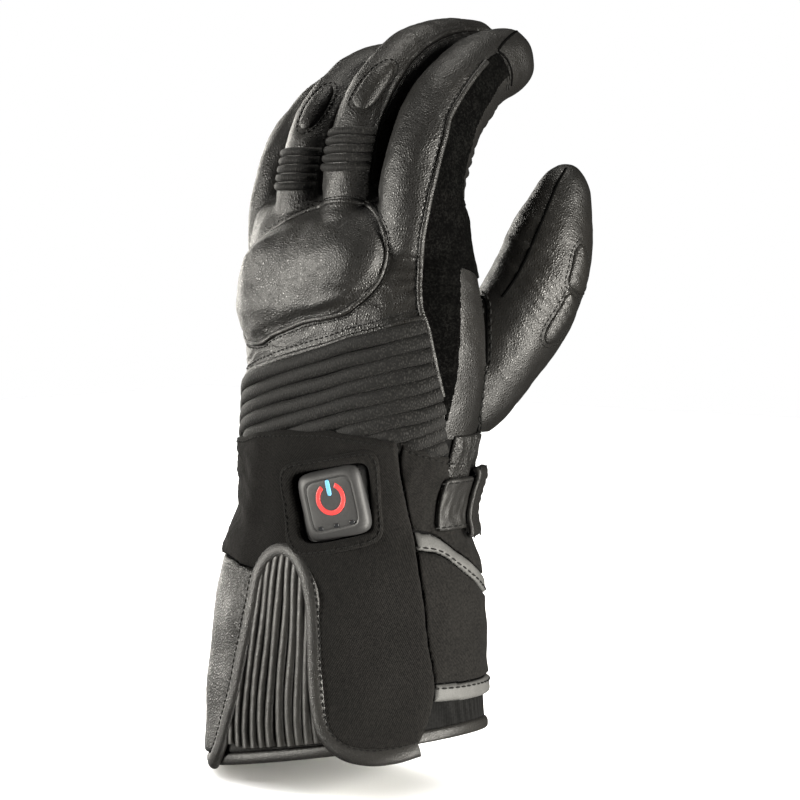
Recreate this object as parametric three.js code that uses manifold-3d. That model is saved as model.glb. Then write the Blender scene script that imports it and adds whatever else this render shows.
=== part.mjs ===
// A left-hand heated riding glove with a gauntlet cuff, worn shape, fingers half curled.
// Millimetres. +Z runs from the cuff's mouth to the fingers, the back of the hand faces -Y
// and the thumb side faces +X. The origin is the centre of the mouth, where the hand goes in.
import * as THREE from "three";
import { mergeVertices } from "three/addons/utils/BufferGeometryUtils.js";
import Module from "manifold-3d";

const wasm = await Module();
wasm.setup();

// Overall sizes
const mouthWidth = 114;
const mouthDepth = 73;
const wristWidth = 88;
const wristDepth = 55;
const knuckleWidth = 101;
const knuckleDepth = 51;
const cuffLength = 112;
const handLength = 92;
const roundness = 2.25;

// Walls and clearances
const leatherWall = 2.4;
const liningWall = 2.2;
const seamGap = 0.3;
const panelGap = 0.7;
const panelThickness = 1.4;
const flapThickness = 2.1;

// Fingers
const indexLength = 108;
const middleLength = 119;
const ringLength = 113;
const littleLength = 97;
const thumbLength = 112;
const indexBreadth = 26.5;
const middleBreadth = 26;
const ringBreadth = 24;
const littleBreadth = 20.5;
const fingerDepth = 31;
const thumbBreadth = 35;
const tipLength = 12;

// Ribs, pads and trim
const wristRibPitch = 4.7;
const wristRibHeight = 1.3;
const fingerRibHeight = 1.3;
const pleatCount = 11;
const pleatHeight = 1.6;
const pipingRadius = 1.5;
const guardHeight = 5.5;
const padHeight = 2.6;
const bindingThickness = 1.9;
const hemHeight = 3.2;
const hemRise = 11.5;

// Wrist strap and heat controller
const strapWidth = 19;
const strapThickness = 1.8;
const keeperWidth = 9;
const keeperThickness = 2;
const controllerWidth = 26;
const controllerHeight = 25;
const controllerRise = 6.5;
const controllerTurn = -14;
const symbolSize = 12;
const symbolThickness = 0.6;
const windowRadius = 1.1;

const wristZ = 0.777 * cuffLength;
const wristSeamZ = 1.036 * cuffLength;
const cuffAt = (share) => share * cuffLength;
const handAt = (share) => cuffLength + share * handLength;

// The hand and cuff as one lofted form: a row for each section, from the mouth up.
// across and forward move the section's centre to the thumb side and to the palm side.
const bodyRows = [
  { z: 0, width: mouthWidth, depth: mouthDepth, across: -0.036 * mouthWidth, forward: 0 },
  { z: 0.29 * cuffLength, width: 0.955 * mouthWidth, depth: 0.96 * mouthDepth, across: -0.032 * mouthWidth, forward: 0 },
  { z: 0.49 * cuffLength, width: 0.92 * mouthWidth, depth: 0.93 * mouthDepth, across: -0.022 * mouthWidth, forward: 0 },
  { z: 0.64 * cuffLength, width: 0.87 * mouthWidth, depth: 0.88 * mouthDepth, across: -0.016 * mouthWidth, forward: 0 },
  { z: wristZ, width: wristWidth, depth: wristDepth, across: -0.02 * wristWidth, forward: 0 },
  { z: 0.93 * cuffLength, width: 1.04 * wristWidth, depth: 1.02 * wristDepth, across: 0.01 * wristWidth, forward: 0 },
  { z: cuffLength + 0.03 * handLength, width: 0.94 * knuckleWidth, depth: 1.06 * knuckleDepth, across: 0.02 * knuckleWidth, forward: 0 },
  { z: cuffLength + 0.2 * handLength, width: 0.975 * knuckleWidth, depth: 1.05 * knuckleDepth, across: 0.04 * knuckleWidth, forward: 0.01 * knuckleDepth },
  { z: cuffLength + 0.42 * handLength, width: knuckleWidth, depth: 1.03 * knuckleDepth, across: 0.04 * knuckleWidth, forward: 0.01 * knuckleDepth },
  { z: cuffLength + 0.62 * handLength, width: 0.98 * knuckleWidth, depth: knuckleDepth, across: 0.02 * knuckleWidth, forward: 0.02 * knuckleDepth },
  { z: cuffLength + 0.78 * handLength, width: 0.93 * knuckleWidth, depth: 0.93 * knuckleDepth, across: 0.004 * knuckleWidth, forward: 0.04 * knuckleDepth },
  { z: cuffLength + 0.9 * handLength, width: 0.9 * knuckleWidth, depth: 0.8 * knuckleDepth, across: 0, forward: 0.06 * knuckleDepth },
  { z: cuffLength + 0.97 * handLength, width: 0.84 * knuckleWidth, depth: 0.6 * knuckleDepth, across: 0, forward: 0.07 * knuckleDepth },
];
const bodySection = new THREE.CubicInterpolant(
  bodyRows.map((row) => row.z),
  bodyRows.flatMap((row) => [row.width / 2, row.depth / 2, row.across, row.forward]),
  4,
);

const radians = THREE.MathUtils.degToRad;

// A cosine or sine pulled outwards, which squares an ellipse off a little.
function squared(value, power) {
  return Math.sign(value) * Math.abs(value) ** (2 / power);
}

// A point of the hand and cuff. around is in degrees: 0 on the middle of the back,
// 90 on the thumb side, -90 on the little-finger side. lift moves it out of the surface.
function bodyPoint(around, z, lift = 0) {
  const [halfWidth, halfDepth, across, forward] = bodySection.evaluate(z);
  const angle = radians(around);
  return new THREE.Vector3(
    across + (halfWidth + lift) * squared(Math.sin(angle), roundness),
    forward - (halfDepth + lift) * squared(Math.cos(angle), roundness),
    z,
  );
}

// The middle line of a finger. It leans from upright towards the palm, slowly at both ends.
function fingerAxis({ knuckle, length, curl, drift }) {
  const steps = 64;
  const points = [knuckle.clone()];
  const lean = (share) => radians(curl) * THREE.MathUtils.smoothstep(share, 0, 1);
  for (let i = 0; i < steps; i++) {
    const angle = lean((i + 0.5) / steps);
    const step = new THREE.Vector3(drift / length, Math.sin(angle), Math.cos(angle));
    points.push(points[i].clone().addScaledVector(step, length / steps));
  }
  return (along) => {
    const place = THREE.MathUtils.clamp((along / length) * steps, 0, steps);
    const low = Math.min(Math.floor(place), steps - 1);
    const centre = points[low].clone().lerp(points[low + 1], place - low);
    const angle = lean(THREE.MathUtils.clamp(along / length, 0, 1));
    const back = new THREE.Vector3(0, -Math.cos(angle), Math.sin(angle));
    return { centre, back, side: new THREE.Vector3(1, 0, 0) };
  };
}

// The thumb's middle line rises from the heel of the palm and bends at its knuckle.
function thumbAxis({ points, length, facing }) {
  const line = new THREE.CatmullRomCurve3(points);
  return (along) => {
    const share = THREE.MathUtils.clamp(along / length, 0, 1);
    const tangent = line.getTangentAt(share);
    const back = facing.clone().addScaledVector(tangent, -facing.dot(tangent)).normalize();
    return { centre: line.getPointAt(share), back, side: back.clone().cross(tangent).negate() };
  };
}

// A point of a finger or thumb, along millimetres from its root. Past the last tipLength
// the tube closes in a dome.
function tubePoint(tube, around, along, lift = 0) {
  const { centre, back, side } = tube.axis(along);
  const share = along / tube.length;
  const [halfBreadth, halfDepth] = tube.section.evaluate(share);
  const dome = Math.max(0, (along - tube.length + tipLength) / (tipLength + lift));
  const close = Math.sqrt(Math.max(0, 1 - Math.min(dome, 1) ** 2));
  const angle = radians(around);
  return centre
    .clone()
    .addScaledVector(side, (halfBreadth + lift) * close * squared(Math.sin(angle), roundness))
    .addScaledVector(back, (halfDepth + lift) * close * squared(Math.cos(angle), roundness));
}

// Breadth and depth of a tube along its length, as shares of its own sizes.
const fingerRows = [
  { share: 0, breadth: 0.98, depth: 1.0 },
  { share: 0.25, breadth: 1.0, depth: 1.0 },
  { share: 0.5, breadth: 0.98, depth: 0.96 },
  { share: 0.75, breadth: 0.93, depth: 0.86 },
  { share: 0.9, breadth: 0.86, depth: 0.76 },
  { share: 1, breadth: 0.8, depth: 0.68 },
];
const thumbRows = [
  { share: 0, breadth: 0.7, depth: 0.7 },
  { share: 0.3, breadth: 0.95, depth: 0.95 },
  { share: 0.55, breadth: 1.0, depth: 1.0 },
  { share: 0.75, breadth: 0.84, depth: 0.86 },
  { share: 0.9, breadth: 0.58, depth: 0.6 },
  { share: 1, breadth: 0.48, depth: 0.5 },
];

function tubeSection(rows, breadth, depth) {
  return new THREE.CubicInterpolant(
    rows.map((row) => row.share),
    rows.flatMap((row) => [(row.breadth * breadth) / 2, (row.depth * depth) / 2]),
    2,
  );
}

function finger(knuckle, length, breadth, depth, curl, drift) {
  return {
    length,
    section: tubeSection(fingerRows, breadth, depth),
    axis: fingerAxis({ knuckle, length, curl, drift }),
  };
}

// Where each knuckle sits in the palm, as shares of the hand, and how far the finger curls.
const knuckleAt = (across, forward, up) =>
  new THREE.Vector3(across * knuckleWidth, forward * knuckleDepth, cuffLength + up * handLength);
const index = finger(knuckleAt(0.337, -0.08, 0.72), indexLength, indexBreadth, fingerDepth, 77, 0);
const middle = finger(knuckleAt(0.07, -0.08, 0.785), middleLength, middleBreadth, fingerDepth, 90, 3);
const ring = finger(knuckleAt(-0.18, -0.04, 0.73), ringLength, ringBreadth, 0.93 * fingerDepth, 87, 0);
const little = finger(knuckleAt(-0.402, 0.07, 0.61), littleLength, littleBreadth, 0.84 * fingerDepth, 62, 0);
const thumb = {
  length: thumbLength,
  section: tubeSection(thumbRows, thumbBreadth, thumbBreadth),
  axis: thumbAxis({
    points: [
      knuckleAt(0.26, 0.42, 0.06),
      knuckleAt(0.36, 0.65, 0.3),
      knuckleAt(0.47, 0.92, 0.62),
      knuckleAt(0.525, 1.18, 1.1),
    ],
    length: thumbLength,
    facing: new THREE.Vector3(0.95, 0.3, 0),
  }),
};

// The faces between one ring of points and the next, back to the first ring if count asks for it.
function ringFaces(rings, sides, count) {
  const faces = [];
  for (let r = 0; r < count; r++)
    for (let s = 0; s < sides; s++) {
      const next = ((r + 1) % rings) * sides;
      const [a, b] = [r * sides + s, r * sides + ((s + 1) % sides)];
      const [c, d] = [next + ((s + 1) % sides), next + s];
      faces.push(a, b, c, a, c, d);
    }
  return faces;
}

// A closed wall with an open way through: its rings run up the outside and down the inside.
function hoop(rings) {
  return solid(rings.flat(), ringFaces(rings.length, rings[0].length, rings.length));
}

// A closed solid from rings of points, with a fan over each end.
function loft(rings) {
  const sides = rings[0].length;
  const points = rings.flat();
  const faces = ringFaces(rings.length, sides, rings.length - 1);
  for (const [ring, turn] of [[rings[0], 1], [rings.at(-1), 0]]) {
    const hub = points.length;
    points.push(ring.reduce((sum, p) => sum.add(p), new THREE.Vector3()).divideScalar(sides));
    const first = turn ? 0 : (rings.length - 1) * sides;
    for (let s = 0; s < sides; s++) {
      const a = first + s;
      const b = first + ((s + 1) % sides);
      if (turn) faces.push(b, a, hub);
      else faces.push(a, b, hub);
    }
  }
  return solid(points, faces);
}

function solid(points, faces) {
  const made = new wasm.Manifold(
    new wasm.Mesh({
      numProp: 3,
      vertProperties: new Float32Array(points.flatMap((p) => [p.x, p.y, p.z])),
      triVerts: new Uint32Array(faces),
    }),
  );
  if (made.volume() > 0) return made;
  const turned = [];
  for (let i = 0; i < faces.length; i += 3) turned.push(faces[i + 1], faces[i], faces[i + 2]);
  return solid(points, turned);
}

const bodySides = 28;
const tubeSides = 12;
const innerTubeSides = 10;
const steps = (from, to, count) =>
  Array.from({ length: count + 1 }, (_, i) => from + ((to - from) * i) / count);
const ringOf = (sides, point) => steps(0, 360, sides).slice(0, -1).map(point);

function bodySolid(fromZ, toZ, count, lift) {
  return loft(steps(fromZ, toZ, count).map((z) => ringOf(bodySides, (a) => bodyPoint(a, z, lift))));
}

function tubeRings(tube, from, lift, count, sides = tubeSides) {
  const straight = tube.length - tipLength;
  const levels = [...steps(from, straight, count)];
  for (const share of lift < 0 ? [0.5, 0.92] : [0.4, 0.75, 0.96]) levels.push(straight + share * (tipLength + lift));
  return levels.map((along) => ringOf(sides, (a) => tubePoint(tube, a, along, lift)));
}

function tubeSolid(tube, from, lift, count = 7, sides = tubeSides) {
  return loft(tubeRings(tube, from, lift, count, sides));
}

// A stub of a finger, from its knuckle inside the hand to a cut across it.
function stubSolid(tube, to, lift, sides = tubeSides) {
  return loft(steps(0, to, 2).map((along) => ringOf(sides, (a) => tubePoint(tube, a, along, lift))));
}

// A value read off a hand-made list of [place, value] pairs.
function edge(pairs) {
  const curve = new THREE.LinearInterpolant(
    pairs.map(([place]) => place),
    pairs.map(([, value]) => value),
    1,
  );
  return (place) => curve.evaluate(place)[0];
}

// A panel that lies on a surface: a grid of columns and rows, with an outer and an inner skin.
function panel({ surface, columns, rows, place, inner, outer }) {
  const points = [];
  const at = (side, u, v) => side * (columns + 1) * (rows + 1) + v * (columns + 1) + u;
  for (const lift of [inner, outer])
    for (let v = 0; v <= rows; v++)
      for (let u = 0; u <= columns; u++) {
        const [around, height] = place(u / columns, v / rows);
        const raised = typeof lift === "function" ? lift(u, v) : lift;
        points.push(surface(around, height, raised));
      }
  const faces = [];
  const quad = (a, b, c, d) => faces.push(a, b, c, a, c, d);
  for (let v = 0; v < rows; v++)
    for (let u = 0; u < columns; u++) {
      quad(at(1, u, v), at(1, u + 1, v), at(1, u + 1, v + 1), at(1, u, v + 1));
      quad(at(0, u, v), at(0, u, v + 1), at(0, u + 1, v + 1), at(0, u + 1, v));
    }
  for (let u = 0; u < columns; u++) {
    quad(at(0, u, 0), at(0, u + 1, 0), at(1, u + 1, 0), at(1, u, 0));
    quad(at(0, u + 1, rows), at(0, u, rows), at(1, u, rows), at(1, u + 1, rows));
  }
  for (let v = 0; v < rows; v++) {
    quad(at(0, 0, v + 1), at(0, 0, v), at(1, 0, v), at(1, 0, v + 1));
    quad(at(0, columns, v), at(0, columns, v + 1), at(1, columns, v + 1), at(1, columns, v));
  }
  return solid(points, faces);
}

// A raised piece with a round outline: rings of points shrink from the outline to a centre.
function disc({ surface, outline, centre, inner, outer, rings = [1, 0.85, 0.6, 0.3] }) {
  const sides = outline.length;
  const points = [];
  for (const lift of [inner, outer]) {
    for (const ring of rings)
      for (const corner of outline) {
        const around = THREE.MathUtils.lerp(centre[0], corner[0], ring);
        const height = THREE.MathUtils.lerp(centre[1], corner[1], ring);
        points.push(surface(around, height, typeof lift === "function" ? lift(ring, around, height) : lift));
      }
    points.push(surface(...centre, typeof lift === "function" ? lift(0, ...centre) : lift));
  }
  const half = points.length / 2;
  const faces = [];
  for (let s = 0; s < sides; s++) {
    const t = (s + 1) % sides;
    for (let r = 0; r + 1 < rings.length; r++) {
      const [a, b, c, d] = [r * sides + s, r * sides + t, (r + 1) * sides + t, (r + 1) * sides + s];
      faces.push(half + a, half + b, half + c, half + a, half + c, half + d);
      faces.push(a, c, b, a, d, c);
    }
    const [a, b] = [(rings.length - 1) * sides + s, (rings.length - 1) * sides + t];
    faces.push(half + a, half + b, 2 * half - 1, b, a, half - 1);
    faces.push(s, t, half + t, s, half + t, half + s);
  }
  return solid(points, faces);
}

// An oval outline on a surface.
function oval(centre, halfAround, halfHeight, lean = 0, sides = 10) {
  return steps(0, 360, sides)
    .slice(0, -1)
    .map((angle) => {
      const rise = halfHeight * Math.sin(radians(angle));
      return [centre[0] + halfAround * Math.cos(radians(angle)) + lean * rise, centre[1] + rise];
    });
}

// A round cord laid along a line of [around, height] places on the hand or cuff.
function cord(line, radius, lift, sides = 6) {
  const centres = line.map(([around, z]) => bodyPoint(around, z, lift));
  return loft(
    line.map(([around, z], i) => {
      const out = bodyPoint(around, z, lift + 1).sub(centres[i]).normalize();
      const ahead = centres[Math.min(i + 1, line.length - 1)].clone();
      const tangent = ahead.sub(centres[Math.max(i - 1, 0)]).normalize();
      const across = tangent.cross(out).normalize();
      return ringOf(sides, (angle) =>
        centres[i]
          .clone()
          .addScaledVector(out, radius * Math.cos(radians(angle)))
          .addScaledVector(across, radius * Math.sin(radians(angle))),
      );
    }),
  );
}

const group = new THREE.Group();
function add(name, made, colour, roughness = 0.6) {
  const mesh = made.getMesh();
  const geometry = new THREE.BufferGeometry();
  geometry.setAttribute("position", new THREE.BufferAttribute(new Float32Array(mesh.vertProperties), 3));
  geometry.setIndex(new THREE.BufferAttribute(new Uint32Array(mesh.triVerts), 1));
  geometry.computeVertexNormals();
  const node = new THREE.Mesh(geometry, new THREE.MeshStandardMaterial({ color: colour, roughness }));
  node.name = name;
  group.add(node);
}

const leather = 0x2e2c29;
const suede = 0x1b1b1b;
const softshell = 0x292827;
const stretch = 0x2b2a28;
const liningCloth = 0x121212;
const greyBinding = 0x6a6a68;
const rubber = 0x3a3b3b;
const red = 0xf04646;
const blue = 0x78c8fa;
const lens = 0x18191a;

// The mouth is cut on a slant, lower on the little-finger side.
const hemAt = (around) => 0.0375 * cuffLength + hemRise * squared(Math.sin(radians(around)), roundness);
const topZ = handAt(0.97);

// The hand: a hollow leather shell with a hole for each finger and for the thumb
const fingers = [
  { name: "index", tube: index, cut: 0.275 * indexLength },
  { name: "middle", tube: middle, cut: 0.19 * middleLength },
  { name: "ring", tube: ring, cut: 0.19 * ringLength },
  { name: "little", tube: little, cut: 0.25 * littleLength },
];
const handOuter = fingers.reduce(
  (sum, { tube, cut }) => sum.add(stubSolid(tube, cut + 1, 0)),
  bodySolid(wristSeamZ + seamGap, topZ, 8, 0),
);
const thumbInner = tubeSolid(thumb, 1, -leatherWall, 5, innerTubeSides);
const handInner = fingers.reduce(
  (sum, { tube, cut }) => sum.add(stubSolid(tube, cut + 2, -leatherWall, innerTubeSides)),
  bodySolid(wristSeamZ - 4, topZ - leatherWall, 7, -leatherWall),
);
const handShell = fingers.reduce(
  (rest, { tube, cut }) => rest.subtract(tubeSolid(tube, cut - seamGap, seamGap)),
  handOuter.subtract(handInner).subtract(thumbInner),
);
add("hand_shell", handShell, leather, 0.45);

// Each finger goes in along its hollow, round its open end and back out to the tip.
for (const { name, tube, cut } of fingers) {
  const hollow = tubeRings(tube, cut, -leatherWall, 4).reverse();
  add(`finger_${name}`, loft([...hollow, ...tubeRings(tube, cut, 0, 7)]), leather, 0.45);
}
const bodyClear = bodySolid(cuffAt(0.9), topZ + 2, 8, seamGap);
add("thumb", tubeSolid(thumb, 0, 0).subtract(thumbInner).subtract(bodyClear), leather, 0.45);

const handClear = fingers.reduce(
  (sum, { tube, cut }) => sum.add(stubSolid(tube, cut, 1.5 * seamGap)),
  bodySolid(cuffAt(0.97), topZ, 8, 1.5 * seamGap),
);

// The suede panel runs from the index finger's tip down the thumb side to the wrist.
const suedeRows = [
  { up: 0, left: 75.5, right: 80 },
  { up: 0.11, left: 71.5, right: 83 },
  { up: 0.22, left: 64, right: 89 },
  { up: 0.33, left: 58.5, right: 98 },
  { up: 0.44, left: 54.5, right: 107 },
  { up: 0.6, left: 53, right: 113 },
  { up: 0.78, left: 55, right: 115 },
  { up: 0.95, left: 59, right: 116 },
];
const suedeLeft = edge(suedeRows.map(({ up, left }) => [up, left]));
const suedeRight = edge(suedeRows.map(({ up, right }) => [up, right]));
const suedeHand = panel({
  surface: bodyPoint,
  columns: 5,
  rows: 8,
  place: (u, v) => {
    const up = 0.02 + 0.92 * v;
    return [THREE.MathUtils.lerp(suedeLeft(up), suedeRight(up), u), handAt(up)];
  },
  inner: -1,
  outer: panelThickness,
});
const onIndex = (around, along, lift) => tubePoint(index, around, along, lift);
const suedeIndexLeft = edge([[0.12, 48], [0.3, 54], [0.42, 60], [0.6, 60], [0.76, 56]]);
const suedeFinger = panel({
  surface: onIndex,
  columns: 4,
  rows: 8,
  place: (u, v) => {
    const share = 0.05 + 0.71 * v;
    return [THREE.MathUtils.lerp(suedeIndexLeft(share), 120, u), share * indexLength];
  },
  inner: -1,
  outer: panelThickness,
});
const indexClear = tubeSolid(index, fingers[0].cut - 1, seamGap, 7);
add("suede_panel", suedeHand.add(suedeFinger).subtract(handClear.add(indexClear)), suede, 0.95);

// The knuckle guard keeps the hand's section of its middle where it reaches over the knuckles.
const guardSectionZ = handAt(0.78);
function guardPoint(around, z, lift) {
  return bodyPoint(around, Math.min(z, guardSectionZ), lift).setZ(z);
}
const guardOutline = [
  [22, 0.915], [31, 0.85], [36, 0.74], [32, 0.62], [20, 0.53], [4, 0.475], [-14, 0.43], [-34, 0.395],
  [-58, 0.39], [-72, 0.46], [-74, 0.6], [-68, 0.73], [-52, 0.83], [-32, 0.89], [-12, 0.935], [7, 0.945],
].map(([around, up]) => [around, handAt(up)]);
const bump = (around, z, atAround, atUp, size) => {
  const far = Math.hypot((around - atAround) / 20, (z - handAt(atUp)) / (0.15 * handLength));
  return size * Math.exp(-far * far);
};
const guard = disc({
  surface: guardPoint,
  outline: guardOutline,
  centre: [-18, handAt(0.68)],
  rings: [1, 0.9, 0.72, 0.5, 0.25],
  inner: -1.5,
  outer: (ring, around, z) => {
    const dome = panelThickness + (guardHeight - panelThickness) * (1 - ring ** 2) ** 0.6;
    const bumps = bump(around, z, 14, 0.74, 0.3 * guardHeight) + bump(around, z, -34, 0.78, 0.3 * guardHeight);
    return dome + bumps * (1 - ring ** 4);
  },
});
add("knuckle_guard", guard.subtract(handClear), leather, 0.4);

// Flex ribs and stitched pads on the middle and ring fingers
const decorated = [
  { name: "middle", tube: middle, ribs: [0.205, 0.315], ribsAround: 46, pad: [12, 0.44], lean: 1.2 },
  { name: "ring", tube: ring, ribs: [0.205, 0.32], ribsAround: 44, pad: [-1, 0.45], lean: 1.2 },
];
for (const { name, tube, ribs, ribsAround, pad, lean } of decorated) {
  const onFinger = (around, along, lift) => tubePoint(tube, around, along, lift);
  add(
    `finger_ribs_${name}`,
    panel({
      surface: onFinger,
      columns: 4,
      rows: 10,
      place: (u, v) => [
        THREE.MathUtils.lerp(-ribsAround, ribsAround, u),
        THREE.MathUtils.lerp(ribs[0], ribs[1], v) * tube.length,
      ],
      inner: panelGap,
      outer: (u, v) => panelGap + 0.6 + (v % 2) * fingerRibHeight,
    }),
    stretch,
    0.6,
  );
  const centre = [pad[0], pad[1] * tube.length];
  add(
    `finger_pad_${name}`,
    disc({
      surface: onFinger,
      outline: oval(centre, 12, 0.088 * tube.length, lean),
      centre,
      rings: [1, 0.8, 0.4],
      inner: panelGap,
      outer: (ring_) => panelGap + 0.6 + (padHeight - 0.6) * (1 - ring_ ** 3),
    }),
    leather,
    0.45,
  );
}

// Two stitched pads on the back of the thumb, and the folds on its inner side
const onThumb = (around, along, lift) => tubePoint(thumb, around, along, lift);
for (const [name, around, share, halfAround] of [["upper", -4, 0.7, 15], ["lower", -8, 0.535, 17]]) {
  const centre = [around, share * thumbLength];
  add(
    `thumb_pad_${name}`,
    disc({
      surface: onThumb,
      outline: oval(centre, halfAround, 0.075 * thumbLength, 0.3),
      centre,
      rings: [1, 0.8, 0.4],
      inner: panelGap,
      outer: (ring_) => panelGap + 0.6 + (padHeight - 0.6) * (1 - ring_ ** 3),
    }),
    leather,
    0.45,
  );
}
add(
  "thumb_folds",
  panel({
    surface: onThumb,
    columns: 5,
    rows: 6,
    place: (u, v) => [
      THREE.MathUtils.lerp(-148, -90, u),
      (0.58 + 0.17 * v + 0.02 * (1 - u)) * thumbLength,
    ],
    inner: panelGap,
    outer: (u, v) => panelGap + 0.6 + (v % 2) * fingerRibHeight,
  }),
  leather,
  0.5,
);

// The ribbed stretch panel over the back of the wrist: ribs follow its slanted top edge.
const ribsTop = edge([[-90, 0.12], [-35, 0.23], [-7, 0.33], [20, 0.41], [54, 0.5], [90, 0.56]]);
const ribsLow = edge([[-90, 0.05], [-36, 0.03], [-5, 0.075], [15, 0.08], [35, 0.06], [78, -0.015], [90, -0.02]]);
const ribsRight = (v) => suedeLeft(THREE.MathUtils.lerp(-0.015, 0.5, v)) - 1.6;
const ribSheet = panel({
  surface: bodyPoint,
  columns: 9,
  rows: 22,
  place: (u, v) => {
    const around = THREE.MathUtils.lerp(-88, 80, u);
    return [around, handAt(ribsTop(around)) - 11 * wristRibPitch * (1 - v)];
  },
  inner: panelGap,
  outer: (u, v) => panelGap + 0.7 + (v % 2) * wristRibHeight,
});
const ribRegion = panel({
  surface: bodyPoint,
  columns: 8,
  rows: 6,
  place: (u, v) => {
    const around = THREE.MathUtils.lerp(-86, ribsRight(v), u);
    return [around, handAt(THREE.MathUtils.lerp(ribsLow(around), ribsTop(around), v) - 0.005 * v)];
  },
  inner: -1,
  outer: 6,
});
add("wrist_ribs", ribSheet.intersect(ribRegion), stretch, 0.75);

// The cuff: a hollow padded lining from the slanted mouth to the wrist seam
const cuffRings = (lift, shares) =>
  shares.map((v) =>
    ringOf(bodySides, (a) => bodyPoint(a, THREE.MathUtils.lerp(hemAt(a), wristSeamZ, v), lift)),
  );
const cuffOuter = cuffRings(0, [0, 0.26, 0.44, 0.55, 0.64, 0.71, 0.78, 0.86, 1]);
const cuffInner = cuffRings(-liningWall, [1, 0.78, 0.64, 0.44, 0]);
add("cuff_lining", hoop([...cuffOuter, ...cuffInner]), liningCloth, 0.95);

// A leather binding goes all round the mouth, under the lining's edge.
const hemRing = (drop, lift) => ringOf(bodySides, (a) => bodyPoint(a, hemAt(a) - seamGap - drop, lift));
const bindingInside = -liningWall - 0.4;
add(
  "hem_binding",
  hoop([hemRing(hemHeight, 0), hemRing(0, 0), hemRing(0, bindingInside), hemRing(hemHeight, bindingInside)]),
  leather,
  0.5,
);

// The gusset's arch, as [around, height] on the cuff. A piping follows it.
const archCurve = new THREE.CatmullRomCurve3(
  [
    [-34, -0.05], [-29, 0.16], [-24, 0.32], [-20.5, 0.464], [-16.5, 0.58], [-11, 0.66], [-4, 0.69],
    [2, 0.655], [6, 0.58], [8.5, 0.482], [11, 0.35], [14, 0.223], [17, 0.116], [20, 0.05],
  ].map(([around, up]) => new THREE.Vector3(around, up, 0)),
);
const archLine = archCurve.getSpacedPoints(26).map((p) => [p.x, cuffAt(p.y)]);
const archCentre = [-7, cuffAt(0.3)];
const spreadArch = (by) => {
  const spread = archLine.map(([around, z]) => {
    const away = new THREE.Vector2(around - archCentre[0], z - archCentre[1]);
    return [around + (by * away.x) / away.length(), z + (by * away.y) / away.length()];
  });
  const floor = cuffAt(-0.3);
  return [...spread, [spread.at(-1)[0] + 4, floor], [archCentre[0], floor], [spread[0][0] - 4, floor]];
};
add("gusset_piping", cord(archLine, pipingRadius, pipingRadius + panelGap), leather, 0.5);
const flapHem = steps(25, 66, 8).map((around) => [around, hemAt(around) - pipingRadius]);
add("flap_hem_piping", cord(flapHem, pipingRadius, pipingRadius + panelGap), leather, 0.5);
const archClear = disc({
  surface: bodyPoint,
  outline: spreadArch(pipingRadius + 1.5),
  centre: archCentre,
  rings: [1, 0.6],
  inner: -1.5,
  outer: 8,
});

// The gusset's pleats stand between the two sides of the piping.
const archLeft = edge([[-0.06, -34.3], [0.16, -29], [0.32, -24], [0.464, -20.5], [0.58, -16.5], [0.66, -11]]);
const archRight = edge([[-0.06, 23], [0.116, 17], [0.223, 14], [0.35, 11], [0.482, 8.5], [0.58, 6], [0.66, 1.5]]);
add(
  "gusset",
  panel({
    surface: bodyPoint,
    columns: 2 * pleatCount,
    rows: 4,
    place: (u, v) => {
      const mid = -34 + 56 * u;
      const z = THREE.MathUtils.lerp(hemAt(mid) + 0.5, cuffAt(0.635), v);
      const up = z / cuffLength;
      const margin = pipingRadius + 1.1;
      return [THREE.MathUtils.lerp(archLeft(up) + margin, archRight(up) - margin, u), z];
    },
    inner: panelGap,
    outer: (u) => panelGap + 0.5 + (u % 2) * pleatHeight,
  }),
  stretch,
  0.6,
);

// Leather on the little-finger side of the cuff, from the gusset's piping round to the palm
const sideLeftAround = -88;
add(
  "cuff_side",
  panel({
    surface: bodyPoint,
    columns: 6,
    rows: 5,
    place: (u, v) => {
      const mid = THREE.MathUtils.lerp(sideLeftAround, -30, u);
      const z = THREE.MathUtils.lerp(hemAt(mid) + 0.5, cuffAt(0.6), v);
      return [THREE.MathUtils.lerp(sideLeftAround, archLeft(z / cuffLength) - pipingRadius - 1.2, u), z];
    },
    inner: panelGap,
    outer: panelGap + panelThickness,
  }),
  leather,
  0.6,
);
const sideClear = panel({
  surface: bodyPoint,
  columns: 6,
  rows: 6,
  place: (u, v) => [
    THREE.MathUtils.lerp(sideLeftAround - 4, archLeft(THREE.MathUtils.lerp(-0.06, 0.58, v)) + 1, u),
    THREE.MathUtils.lerp(cuffAt(-0.3), cuffAt(0.61), v),
  ],
  inner: -1.5,
  outer: 8,
});

// The heat controller sits on the cuff's back, turned a little.
const controllerCentre = [18, cuffAt(0.835)];
const onCuff = bodyPoint(...controllerCentre, 0);
const outward = bodyPoint(...controllerCentre, 1).sub(onCuff).setZ(0).normalize();
const sideways = bodyPoint(controllerCentre[0] + 2, controllerCentre[1], 0).sub(onCuff).divideScalar(2);
const perDegree = sideways.length();
sideways.normalize();
const upward = outward.clone().cross(sideways).normalize();
const roundedSquare = (grow) =>
  steps(0, 360, 20)
    .slice(0, -1)
    .map((angle) => {
      const [c, s] = [Math.cos(radians(angle)), Math.sin(radians(angle))];
      const flat = new THREE.Vector2(
        (controllerWidth / 2 + grow) * squared(c, 6),
        (controllerHeight / 2 + grow) * squared(s, 6),
      );
      return flat.rotateAround(new THREE.Vector2(), radians(-controllerTurn));
    });
const placed = (flat) => [controllerCentre[0] + flat.x / perDegree, controllerCentre[1] + flat.y];
const inPlane = (flat, rise) =>
  onCuff
    .clone()
    .addScaledVector(outward, rise)
    .addScaledVector(sideways, flat.x)
    .addScaledVector(upward, flat.y);
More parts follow.
